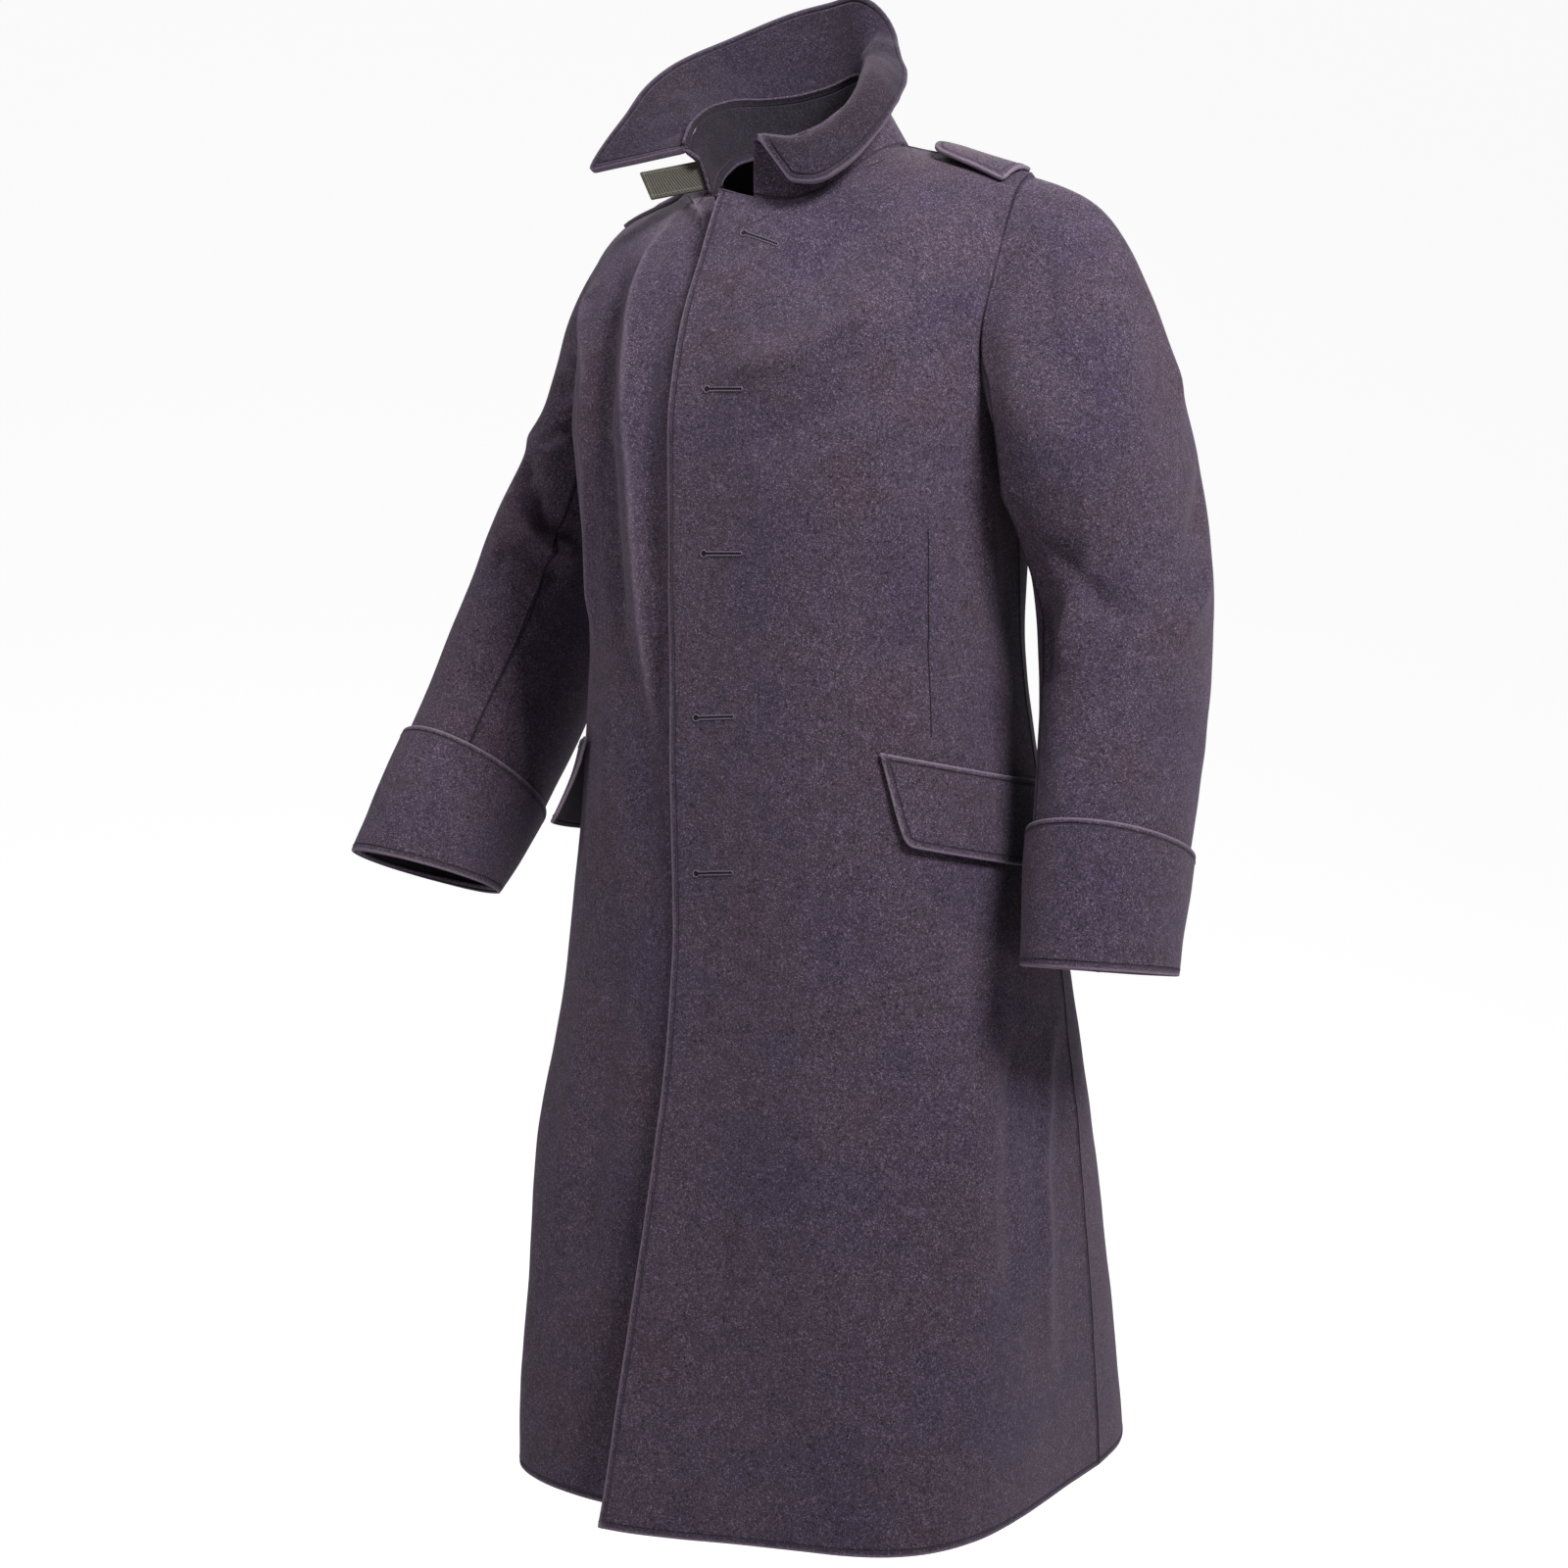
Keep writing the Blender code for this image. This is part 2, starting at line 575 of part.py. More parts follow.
def build_body(melton):
    """The two fronts and the two halves of the back. Returns the armholes and the neck seam."""
    left = front_panel(True)
    left[-CORNER_ROWS:, 0, 2] += CORNER_RISE * ease(np.linspace(0, 1, CORNER_ROWS))
    right = front_panel(False)
    back = back_panel()
    ends = {}
    for side, front in (("left", left), ("right", right)):
        flip = mirrored if side == "right" else (lambda points: points)
        front_out, back_out = normals_of(front), normals_of(back)
        shared = unit(front_out[: SKIRT_ROWS + 1, -1] + back_out[: SKIRT_ROWS + 1, 0])
        front_out[: SKIRT_ROWS + 1, -1] = shared
        back_out[: SKIRT_ROWS + 1, 0] = shared
        ridge = front_out[-1, NECK_COLUMN:] + back_out[-1, SHOULDER_COLUMNS::-1]
        ridge = unit(ridge * [1, 0, 1])
        front_out[-1, NECK_COLUMN:] = ridge
        back_out[-1, : SHOULDER_COLUMNS + 1] = ridge[::-1]
        back_out[:, -1] = unit(back_out[:, -1] * [0, 1, 1])
        front_at, back_at = flip(front), flip(back)
        front_out, back_out = flip(front_out), flip(back_out)
        front_at = lifted(front_at, front_out, BODY_FOLDS)
        back_at = lifted(back_at, back_out, BODY_FOLDS)
        if side == "right":
            edge_x = through(FRONT_EDGE, "height", "x", np.minimum(front_at[..., 2], CHEST))
            sunk = ease((front_at[..., 0] - edge_x + LAP_START) / LAP_RUN)
            front_at -= front_out * (sunk * (CLOTH + LAP))[..., None]
        ends[side] = (front_at, back_at)
        front_at = parted(front_at, front_out, ["end"])
        front_at[-1, NECK_COLUMN:, 1] -= SEAM * SEAM_SHARE
        back_at = parted(back_at, back_out, ["start", "end"])
        back_at[-1, : SHOULDER_COLUMNS + 1, 1] += SEAM * SEAM_SHARE
        cloth(f"front_{side}", front_at, front_out, CLOTH, melton)
        cloth(f"back_{side}", back_at, back_out, CLOTH, melton)
    return {side: armhole_loop(*panels) for side, panels in ends.items()}, neck_points(ends)


def build_sleeve(side, arm, armhole, head_slope, folds, melton):
    """A two-piece sleeve with its turned-back cuff."""
    flip = mirrored if side == "right" else (lambda points: points)
    turns = armhole_turns()
    loop = flip(armhole) + np.array([SEAM * 2, 0, 0])
    grid = sleeve_rings(arm, loop, turns, head_slope)[::-1]
    out = normals_of(grid[:, ::-1], closed=True)[:, ::-1]
    outward_ring = unit(grid[-1] - grid[-1].mean(axis=0))
    out[-1] = unit(outward_ring * [0, 1, 1])
    for _ in range(HEAD_SMOOTHING):
        out[1:-1] = unit(out[:-2] + 2 * out[1:-1] + out[2:])
    grid, out = flip(grid), flip(out)
    grid = lifted(grid, out, folds)
    first = YOKE_ROWS - UNDER_SLEEVE_STEPS
    last = YOKE_ROWS + UNDER_SLEEVE_STEPS
    count = len(turns)
    under = np.arange(first, last + 1)
    upper = np.arange(last, first + count + 1) % count
    for name, columns in (("under", under), ("top", upper)):
        panel = parted(grid[:, columns], out[:, columns], ["start", "end"], SLEEVE_SEAM)
        cloth(f"sleeve_{name}_{side}", panel, out[:, columns], CLOTH, melton)
    return grid, out


def build_cuff(side, grid, out, melton):
    """The cuff lies round the end of the sleeve, open only along its seam at the back of the arm."""
    lengths = np.linalg.norm(np.diff(grid[:, 0], axis=0), axis=1)
    top = CUFF_DEPTH / lengths[0]
    columns = (np.arange(grid.shape[1] + 1) + YOKE_ROWS + UNDER_SLEEVE_STEPS) % grid.shape[1]
    rows, ways = [], []
    for place in np.linspace(0, top, CUFF_ROWS + 1):
        k = min(int(place), len(grid) - 2)
        share = place - k
        at = grid[k] * (1 - share) + grid[k + 1] * share
        way = unit(out[k] * (1 - share) + out[k + 1] * share)
        off = CUFF_GAP + CLOTH + CUFF_FLARE * ease(place / top)
        rows.append((at + way * off)[columns])
        ways.append(way[columns])
    panel, way = np.stack(rows), np.stack(ways)
    panel[0] -= unit(panel[1] - panel[0]) * CUFF_TURN
    panel = parted(panel, way, ["start", "end"])
    cloth(f"cuff_{side}", panel, way, CLOTH, melton)


def collar_line(row, base):
    """The collar's outer face from the neck seam up the stand, over the roll and along the fall."""
    def way(lean, heading):
        lean, heading = math.radians(lean), math.radians(heading)
        flat = np.array([math.cos(heading), math.sin(heading), 0.0])
        return flat * math.sin(lean) + np.array([0.0, 0.0, math.cos(lean)])

    steps = np.linspace(0, row.length, DENSE)
    points = [base]
    for a, b in zip(steps[:-1], steps[1:]):
        s = (a + b) / 2
        turn = float(ease((s - row.fold + ROLL) / (2 * ROLL)))
        lean = row.stand_lean + (row.fall_lean - row.stand_lean) * turn
        heading = row.stand_heading + (row.fall_heading - row.stand_heading) * turn
        points.append(points[-1] + way(lean, heading) * (b - a))
    return np.array(points), steps


def build_collar(neck, melton):
    """The stand, sewn to the neck seam, and the fall, sewn to it. Returns the stand's face."""
    stand, fall = [], []
    half_steps = pick(neck, np.arange(0, len(neck) - 0.75, 0.5))
    middle_y = SHOULDER_LINE[1].y
    for point in half_steps:
        station = math.degrees(math.atan2(point[0] / NECK_HALF_WIDTH, (middle_y - point[1]) / NECK_DEPTH))
        station = station % 360 if point[0] < -0.01 else max(station, 0.0)
        row = Collar(station, *(float(through(COLLAR, "station", c, station)) for c in Collar._fields[1:]))
        line, steps = collar_line(row, point + np.array([0.0, 0.0, SEAM * 3]))
        index = np.arange(len(steps))
        low = np.interp(np.linspace(0, STAND, STAND_ROWS + 1), steps, index)
        high = np.interp(np.linspace(STAND, row.length, FALL_ROWS + 1), steps, index)
        stand.append(pick(line, low))
        fall.append(pick(line, high))
    stand = np.stack(stand, axis=1)
    fall = np.stack(fall, axis=1)
    whole = np.concatenate([stand, fall[1:]])
    out = normals_of(whole)
    out[0] = unit(out[0] * [1, 1, 0])
    stand_out, fall_out = out[: len(stand)], out[len(stand) - 1 :]
    stand = parted(stand, stand_out, ["top"])
    fall = parted(fall, fall_out, ["bottom"])
    cloth("collar_stand", stand, stand_out, COLLAR_CLOTH, melton)
    cloth("collar_fall", fall, fall_out, COLLAR_CLOTH, melton)
    return stand, stand_out


def build_flap(side, stand_off, melton):
    """A pocket flap made from the front's own points, moved out."""
    across = np.linspace(0, 1, FLAP_COLUMNS + 1)
    rows = []
    for rise in np.linspace(0, 1, FLAP_ROWS + 1):
        front = FLAP_FRONT_ANGLE + FLAP_SLANT * (1 - rise)
        angles = front + (FLAP_BACK_ANGLE - front) * across
        top = FLAP_TOP_FRONT + (FLAP_TOP_BACK - FLAP_TOP_FRONT) * across
        rows.append(section(top - FLAP_DEPTH * (1 - rise), angles))
    grid = swung(np.stack(rows))
    out = normals_of(grid)
    if side == "right":
        grid, out = mirrored(grid), mirrored(out)
    grid = lifted(grid, out, BODY_FOLDS)
    fall = 1 - np.linspace(0, 1, FLAP_ROWS + 1)[:, None, None]
    grid = grid + out * (CLOTH + FLAP_GAP + stand_off * fall**1.5)
    cloth(f"pocket_flap_{side}", grid, out, CLOTH, melton)


def shoulder_height(x, y):
    """The height of the shoulder over a place seen from above."""
    front = y < float(through(SHOULDER_LINE, "x", "y", x))
    power = FRONT_ROUNDNESS if front else BACK_ROUNDNESS
    angle = ridge_angle(x, front)
    ridge_y = float(through(SHOULDER_LINE, "x", "y", x))
    ridge_z = float(through(SHOULDER_LINE, "x", "height", x))
    chest_y = float(section(np.array(CHEST), np.array(angle))[..., 1])
    share = (y - ridge_y) / (chest_y - ridge_y)
    return CHEST + (ridge_z - CHEST) * (1 - share**power) ** (1 / power)


def build_strap(side, back_y, melton):
    """A shoulder strap, lifted towards its free end."""
    rows = []
    for v in np.linspace(0, 1, STRAP_ROWS + 1):
        y = back_y - STRAP_DEPTH * (1 - v)
        inner_x = STRAP_INNER_X + STRAP_POINT * (2 * v - 1) ** 2
        row = []
        for u in np.linspace(0, 1, STRAP_COLUMNS + 1):
            x = inner_x + (STRAP_OUTER_X - inner_x) * u
            lift = STRAP_SEWN_LIFT + (STRAP_FREE_LIFT - STRAP_SEWN_LIFT) * (1 - u) ** 2
            row.append((x, y, shoulder_height(x, y) + lift))
        rows.append(row)
    grid = np.array(rows)
    out = normals_of(grid)
    if side == "right":
        grid, out = mirrored(grid), mirrored(out)
        grid = lifted(grid, out, BODY_FOLDS) + out * RIGHT_STRAP_RAISE
    cloth(f"shoulder_strap_{side}", grid, out, COLLAR_CLOTH, melton)


def build_tab(stand, stand_out, drill):
    """The throat tab, its drill face to the front. Its inner end stands on the collar stand's face."""
    face = stand + stand_out * SEAM * 2
    root = face[:, -1] * (1 - TAB_ROOT_COLUMN) + face[:, -2] * TAB_ROOT_COLUMN
    inner = pick(root, np.linspace(*TAB_ROOT_ROWS, TAB_ROWS + 1))
    free = np.linspace(TAB_LOW_END, TAB_HIGH_END, TAB_ROWS + 1)
    across = np.linspace(0, 1, TAB_COLUMNS + 1)[None, :, None]
    grid = free[:, None] * (1 - across) + inner[:, None] * across
    cloth("throat_tab", grid, normals_of(grid), CLOTH, drill)


def start_scene():
    for item in list(bpy.data.objects):
        bpy.data.objects.remove(item, do_unlink=True)
    collection = bpy.data.collections.new("greatcoat")
    bpy.context.scene.collection.children.link(collection)


def main():
    start_scene()
    melton = fabric("wool_melton", MELTON, 0.95)
    drill = fabric("cotton_drill", DRILL, 0.9)
    armholes, neck = build_body(melton)
    arms = (
        ("left", LEFT_ARM, LEFT_HEAD_SLOPE, LEFT_FOLDS, LEFT_STRAP_BACK_Y),
        ("right", RIGHT_ARM, RIGHT_HEAD_SLOPE, RIGHT_FOLDS, RIGHT_STRAP_BACK_Y),
    )
    for side, arm, head_slope, folds, strap_back_y in arms:
        grid, out = build_sleeve(side, arm, armholes[side], head_slope, folds, melton)
        build_cuff(side, grid, out, melton)
        build_strap(side, strap_back_y, melton)
    build_flap("left", LEFT_FLAP_STAND_OFF, melton)
    build_flap("right", RIGHT_FLAP_STAND_OFF, melton)
    stand, stand_out = build_collar(neck, melton)
    build_tab(stand, stand_out, drill)


main()
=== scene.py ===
"""A military greatcoat of thick wool melton, filled out as it is worn, on a pale studio floor.

X points to the wearer's left, Y to the back and Z up. The hem hangs 1.14 m below the origin.
Places given as picture points are read in a 1600 by 1600 view from the camera below.
"""

import math
from collections import namedtuple

import bmesh
import bpy
import numpy as np
from mathutils import Euler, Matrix, Vector, kdtree, noise
from mathutils.bvhtree import BVHTree


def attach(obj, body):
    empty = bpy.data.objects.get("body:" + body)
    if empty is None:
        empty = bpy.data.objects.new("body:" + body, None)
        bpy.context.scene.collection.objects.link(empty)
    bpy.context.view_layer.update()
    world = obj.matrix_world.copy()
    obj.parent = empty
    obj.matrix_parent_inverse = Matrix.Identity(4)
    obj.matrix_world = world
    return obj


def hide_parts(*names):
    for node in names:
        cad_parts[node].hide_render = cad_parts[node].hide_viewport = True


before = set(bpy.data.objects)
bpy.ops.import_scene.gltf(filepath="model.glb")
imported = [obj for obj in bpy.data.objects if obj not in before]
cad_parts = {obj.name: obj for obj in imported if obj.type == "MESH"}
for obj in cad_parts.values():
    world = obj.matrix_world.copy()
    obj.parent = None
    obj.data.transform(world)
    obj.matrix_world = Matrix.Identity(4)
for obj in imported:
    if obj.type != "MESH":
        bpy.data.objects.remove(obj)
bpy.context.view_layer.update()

# The camera stands at chest height, a third of the way round to the wearer's left, and looks a little
# down. It comes first because seams and folds below are placed by where this view shows them.
CAMERA_PLACE = Vector((1.272, -2.035, -0.277))
CAMERA_TURN = Euler((math.radians(84), 0.0, math.radians(32)))
LENS = 62.1
SENSOR = 36.0
SHIFT = -0.025
PICTURE = 1600

camera_data = bpy.data.cameras.new("studio_camera")
camera_data.lens = LENS
camera_data.sensor_width = SENSOR
camera_data.shift_x = SHIFT
camera = bpy.data.objects.new("studio_camera", camera_data)
camera.location = CAMERA_PLACE
camera.rotation_euler = CAMERA_TURN
bpy.context.scene.collection.objects.link(camera)
bpy.context.scene.camera = camera


def sight(x, y):
    """The direction from the camera through a picture point."""
    across = (x / PICTURE - 0.5 + SHIFT) * SENSOR
    up = (0.5 - y / PICTURE) * SENSOR
    way = Vector((across, up, -LENS))
    way.rotate(CAMERA_TURN)
    return way.normalized()


# The body: two fronts and two halves of the back, cut in 3 mm melton and sewn at the sides, shoulders
# and middle back. The wearer's left front laps over the right, and every open edge is stitched down.
# Melton is a heather of dark, grey and mauve wool, milled until its weave is hidden under a short nap.
MELTON_THICK = 0.003
EDGE_ROUNDING = 0.0013
NAP_FLECK = 2.6
NAP_GRAIN = 1.2
NAP_MAT = 12.0
CLOUD = 90.0
STITCH_IN = 0.0055
GROOVE_HALF = 0.0017
RUBBED_AND_HIGHLIT_WIDTH = 0.0034
CREST_HALF = 0.0030

# Texture scales for a size or a wavelength of one millimetre.
NOISE_AT_1_MM = 1000.0
WAVE_AT_1_MM = 314.0


def colour(code):
    """An sRGB hex colour as linear light."""
    parts = [int(code[i : i + 2], 16) / 255 for i in (0, 2, 4)]
    return (*[c / 12.92 if c <= 0.04045 else ((c + 0.055) / 1.055) ** 2.4 for c in parts], 1.0)


def add(tree, kind, values):
    """Adds a node. A key is an input's name or number, or in small letters a setting of the node."""
    node = tree.nodes.new("ShaderNode" + kind)
    for key, value in values.items():
        if key == "stops":
            ramp = node.color_ramp
            while len(ramp.elements) < len(value):
                ramp.elements.new(0.5)
            for element, (position, shade) in zip(ramp.elements, value):
                element.position = position
                element.color = shade
        elif isinstance(key, str) and key[0].islower():
            setattr(node, key, value)
        elif isinstance(value, bpy.types.NodeSocket):
            tree.links.new(value, node.inputs[key])
        else:
            node.inputs[key].default_value = value
    return node


def milled_melton(name, dark, middle, light, fleck):
    """Wool melton: a matt heather with a soft nap, a groove darkened with painted shade along each stitched
    edge, and rims and fold ridges paler, partly from wear and partly as painted highlight.
    """
    material = bpy.data.materials.new(name)
    material.use_nodes = True
    tree = material.node_tree
    shader = tree.nodes["Principled BSDF"]
    place = add(tree, "TexCoord", {}).outputs["Object"]

    # Wool clumps about 2.6 mm across, in three shades, and pale single fibres over them.
    clumps = add(tree, "TexNoise", {"Vector": place, "Scale": NOISE_AT_1_MM / NAP_FLECK, "Detail": 3.0,
                                    "Roughness": 0.70})
    shades = add(tree, "ValToRGB", {0: clumps.outputs[0], "stops": [
        (0.33, colour(dark)), (0.46, colour(middle)), (0.55, colour(middle)), (0.69, colour(light))]})
    hairs = add(tree, "TexNoise", {"Vector": place, "Scale": NOISE_AT_1_MM / NAP_GRAIN, "Detail": 2.0})
    speck = add(tree, "MapRange", {0: hairs.outputs[0], 1: 0.55, 2: 0.74, 3: 0.0, 4: 0.52})
    hairy = add(tree, "Mix", {"data_type": "RGBA", 0: speck.outputs[0], 6: shades.outputs[0],
                              7: colour(fleck)})

    # Mats of nap about 12 mm across, and faint wide clouds of bluer and browner wool.
    mats = add(tree, "TexNoise", {"Vector": place, "Scale": NOISE_AT_1_MM / NAP_MAT, "Detail": 3.0})
    matted = add(tree, "ValToRGB", {0: mats.outputs[0], "stops": [
        (0.34, colour("e6e6e6")), (0.66, colour("ffffff"))]})
    clouds = add(tree, "TexNoise", {"Vector": place, "Scale": NOISE_AT_1_MM / CLOUD, "Detail": 4.0,
                                    "Roughness": 0.55})
    tint = add(tree, "ValToRGB", {0: clouds.outputs[0], "stops": [
        (0.34, colour("eceefa")), (0.52, colour("fcfcfc")), (0.68, colour("fdf3f0"))]})
    patchy = add(tree, "Mix", {"data_type": "RGBA", "blend_type": "MULTIPLY", 0: 1.0,
                               6: hairy.outputs[2], 7: matted.outputs[0]})
    tinted = add(tree, "Mix", {"data_type": "RGBA", "blend_type": "MULTIPLY", 0: 1.0,
                               6: patchy.outputs[2], 7: tint.outputs[0]})

    # Distance from the nearest stitched edge: a pressed groove darkened with painted shade, and paler nap
    # at the rim, partly rubbed and partly painted highlight.
    rim = add(tree, "Attribute", {"attribute_name": "rim"}).outputs["Fac"]
    beside = add(tree, "Math", {"operation": "SUBTRACT", 0: rim, 1: STITCH_IN})
    apart = add(tree, "Math", {"operation": "ABSOLUTE", 0: beside.outputs[0]})
    groove = add(tree, "MapRange", {"interpolation_type": "SMOOTHSTEP", 0: apart.outputs[0],
                                    1: 0.0, 2: GROOVE_HALF, 3: 1.0, 4: 0.0})
    rubbed_and_highlit_rim = add(tree, "MapRange", {"interpolation_type": "SMOOTHSTEP", 0: rim,
                                    1: 0.0, 2: RUBBED_AND_HIGHLIT_WIDTH, 3: 0.42, 4: 0.0})
    # Paler crests of folds, partly worn nap and partly painted highlight.
    pale_crest = add(tree, "Attribute", {"attribute_name": "worn"}).outputs["Fac"]
    paler = add(tree, "Math", {"operation": "MAXIMUM", 0: rubbed_and_highlit_rim.outputs[0], 1: pale_crest})
    shaded = add(tree, "Mix", {"data_type": "RGBA", 0: paler.outputs[0], 6: tinted.outputs[2],
                               7: colour(fleck)})
    # The groove's darkening is painted shade.
    groove_painted_shade = add(tree, "Math", {"operation": "MULTIPLY", 0: groove.outputs[0], 1: 0.55})
    final = add(tree, "Mix", {"data_type": "RGBA", 0: groove_painted_shade.outputs[0], 6: shaded.outputs[2],
                              7: colour(dark)})
    tree.links.new(final.outputs[2], shader.inputs["Base Color"])

    # The nap stands about half a millimetre high, and a stitched groove is three times as deep.
    nap = add(tree, "Math", {"operation": "ADD", 0: clumps.outputs[0], 1: hairs.outputs[0]})
    dip = add(tree, "Math", {"operation": "MULTIPLY_ADD", 0: groove.outputs[0], 1: -3.0,
                             2: nap.outputs[0]})
    bump = add(tree, "Bump", {"Strength": 0.75, "Distance": 0.0008, "Height": dip.outputs[0]})
    tree.links.new(bump.outputs[0], shader.inputs["Normal"])
    shader.inputs["Roughness"].default_value = 0.95
    shader.inputs["Specular IOR Level"].default_value = 0.10
    shader.inputs["Sheen Weight"].default_value = 0.12
    shader.inputs["Sheen Roughness"].default_value = 0.55
    shader.inputs["Sheen Tint"].default_value = colour("b9a9bd")
    return material


MELTON = milled_melton("wool_melton_milled", "1e181f", "362d39", "534659", "877888")

# The inside has not faded, so it is darker, and it is darkened further as painted shade for the deep shadow
# inside the collar and under the straps.
UNFADED_AND_SHADED = milled_melton("wool_melton_unfaded_and_shaded", "0d0b0f", "19161b", "27222b", "423b45")

# The inner face of the collar's fall is darkened as painted shade for the shadow inside the collar, to a
# tone between those two.
FALL_INSIDE_PAINTED_SHADE = milled_melton("wool_melton_painted_shade", "120e14", "211b24", "352d3d", "605565")


SAME_PLACE = 0.00001
SHARPEST_FIRST = (62, 55, 48, 41, 34)


def sheet_of(node, outside):
    """The outer face of a solid wall, as a sheet of quads. Outside gives the way out at a place."""
    sheet = bmesh.new()
    sheet.from_mesh(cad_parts[node].data)
    bmesh.ops.remove_doubles(sheet, verts=sheet.verts, dist=SAME_PLACE)
    bmesh.ops.join_triangles(sheet, faces=sheet.faces[:], angle_face_threshold=math.radians(60),
                             angle_shape_threshold=math.radians(70))
    whole = sum(face.calc_area() for face in sheet.faces)
    for limit in SHARPEST_FIRST:
        regions, seen = [], set()
        for first in sheet.faces:
            if first in seen:
                continue
            seen.add(first)
            region, waiting = [], [first]
            while waiting:
                face = waiting.pop()
                region.append(face)
                for edge in face.edges:
                    if edge.is_manifold and edge.calc_face_angle() < math.radians(limit):
                        fresh = [f for f in edge.link_faces if f not in seen]
                        seen.update(fresh)
                        waiting.extend(fresh)
            regions.append(region)
        regions.sort(key=lambda region: -sum(face.calc_area() for face in region))
        if sum(face.calc_area() for face in regions[0]) < 0.6 * whole:
            break

    def facing(region):
        return sum(f.normal.dot(outside(f.calc_center_median())) * f.calc_area() for f in region)

    outer = set(max(regions[:2], key=facing))
    bmesh.ops.delete(sheet, geom=[f for f in sheet.faces if f not in outer], context="FACES")
    return sheet


def rounded(sheet, levels, corners="PRESERVE_CORNERS"):
    """The sheet as a smooth mesh, its corners kept or rounded off."""
    mesh = bpy.data.meshes.new("cloth")
    sheet.to_mesh(mesh)
    sheet.free()
    piece = bpy.data.objects.new("cloth", mesh)
    bpy.context.scene.collection.objects.link(piece)
    smooth = piece.modifiers.new("smooth", "SUBSURF")
    smooth.levels = smooth.render_levels = levels
    smooth.boundary_smooth = corners
    graph = bpy.context.evaluated_depsgraph_get()
    made = bpy.data.meshes.new_from_object(piece.evaluated_get(graph))
    bpy.data.objects.remove(piece)
    bpy.data.meshes.remove(mesh)
    return made


def places_of(mesh):
    values = np.empty(len(mesh.vertices) * 3)
    mesh.vertices.foreach_get("co", values)
    return values.reshape(-1, 3)


def ways_of(mesh):
    values = np.empty(len(mesh.vertices) * 3)
    mesh.vertex_normals.foreach_get("vector", values)
    return values.reshape(-1, 3)


def tree_of(meshes):
    """A tree that finds where a line meets any of the meshes."""
    corners, faces = [], []
    for mesh in meshes:
        start = len(corners)
        corners.extend(v.co.copy() for v in mesh.vertices)
        faces.extend([start + i for i in face.vertices] for face in mesh.polygons)
    return BVHTree.FromPolygons(corners, faces)


def seen_on(tree, points):
    """Where picture points fall on the cloth."""
    found = []
    for x, y in points:
        hit = tree.ray_cast(CAMERA_PLACE, sight(x, y))[0]
        if hit is None:
            hit = tree.find_nearest(CAMERA_PLACE + sight(x, y) * 2.4)[0]
        found.append(hit)
    return found


def hit_from(tree, way, points):
    """Where level lines from far off fall on the cloth. Points are (across, height) in metres."""
    way = Vector(way)
    side = Vector((way.y, -way.x, 0.0))
    found = []
    for across, height in points:
        start = side * across - way * 3 + Vector((0, 0, height))
        hit = tree.ray_cast(start, way)[0]
        found.append(hit or tree.find_nearest(start + way * 3)[0])
    return found


# A crease: its path over the cloth, its half width, how far it stands out, or in where negative, and how
# fast it swells from its ends. The worn ones have a paler crest, partly from worn nap and partly as painted
# highlight.
Crease = namedtuple("Crease", "path width lift swell worn", defaults=(3.2, 0.0))


def creased(places, ways, creases):
    """Places moved out along the creases, and how pale each place is on a fold's ridge, partly from wear
    and partly as painted highlight.
    """
    moved = places.copy()
    wear = np.zeros(len(places))
    for crease in creases:
        path = np.array([tuple(point) for point in crease.path])
        runs = np.linalg.norm(np.diff(path, axis=0), axis=1)
        lengths = np.concatenate([[0.0], np.cumsum(runs)])
        best = np.full(len(places), 9.0)
        share = np.zeros(len(places))
        for k, run in enumerate(runs):
            way = path[k + 1] - path[k]
            t = np.clip((places - path[k]) @ way / (run * run), 0, 1)
            away = np.linalg.norm(places - path[k] - t[:, None] * way, axis=1)
            nearer = away < best
            best = np.where(nearer, away, best)
            share = np.where(nearer, (lengths[k] + t * run) / lengths[-1], share)
        fade = np.clip(np.minimum(share, 1 - share) * crease.swell, 0, 1)
        fade = fade * fade * (3 - 2 * fade)
        lift = crease.lift * fade * np.exp(-((best / crease.width) ** 1.6))
        moved += ways * lift[:, None]
        wear = np.maximum(wear, crease.worn * fade * np.exp(-((best / CREST_HALF) ** 2)))
    return moved, wear


def uneven(places, ways, amount):
    """The slight unevenness of worn cloth, in swells about 90 mm and 35 mm across."""
    lift = [noise.noise(Vector(p) * 11.0) + 0.35 * noise.noise(Vector(p) * 29.0 + Vector((7, 3, 1)))
            for p in places]
    return places + ways * (np.array(lift) * amount)[:, None]


def open_edges(mesh, wanted):
    """The open edges wanted for their middle and their way, as two ends and the way in over the cloth."""
    beside = {}
    for face in mesh.polygons:
        for key in face.edge_keys:
            beside.setdefault(key, []).append(face)
    found = []
    for (a, b), faces in beside.items():
        if len(faces) == 1:
            start, end = mesh.vertices[a].co.copy(), mesh.vertices[b].co.copy()
            middle = (start + end) / 2
            along = (end - start).normalized()
            if wanted(middle, along):
                inward = faces[0].center - middle
                inward = (inward - along * inward.dot(along)).normalized()
                found.append((start, end, inward))
    return found


def everywhere(place, way):
    return True


def along_edges(edges):
    """Sample places a couple of millimetres apart along open edges."""
    samples = []
    for start, end, _ in edges:
        steps = max(1, int((end - start).length / 0.002))
        samples.extend(start.lerp(end, k / steps) for k in range(steps + 1))
    return samples


def distances(places, samples):
    near = kdtree.KDTree(len(samples))
    for index, place in enumerate(samples):
        near.insert(place, index)
    near.balance()
    return np.array([near.find(place)[2] for place in places])


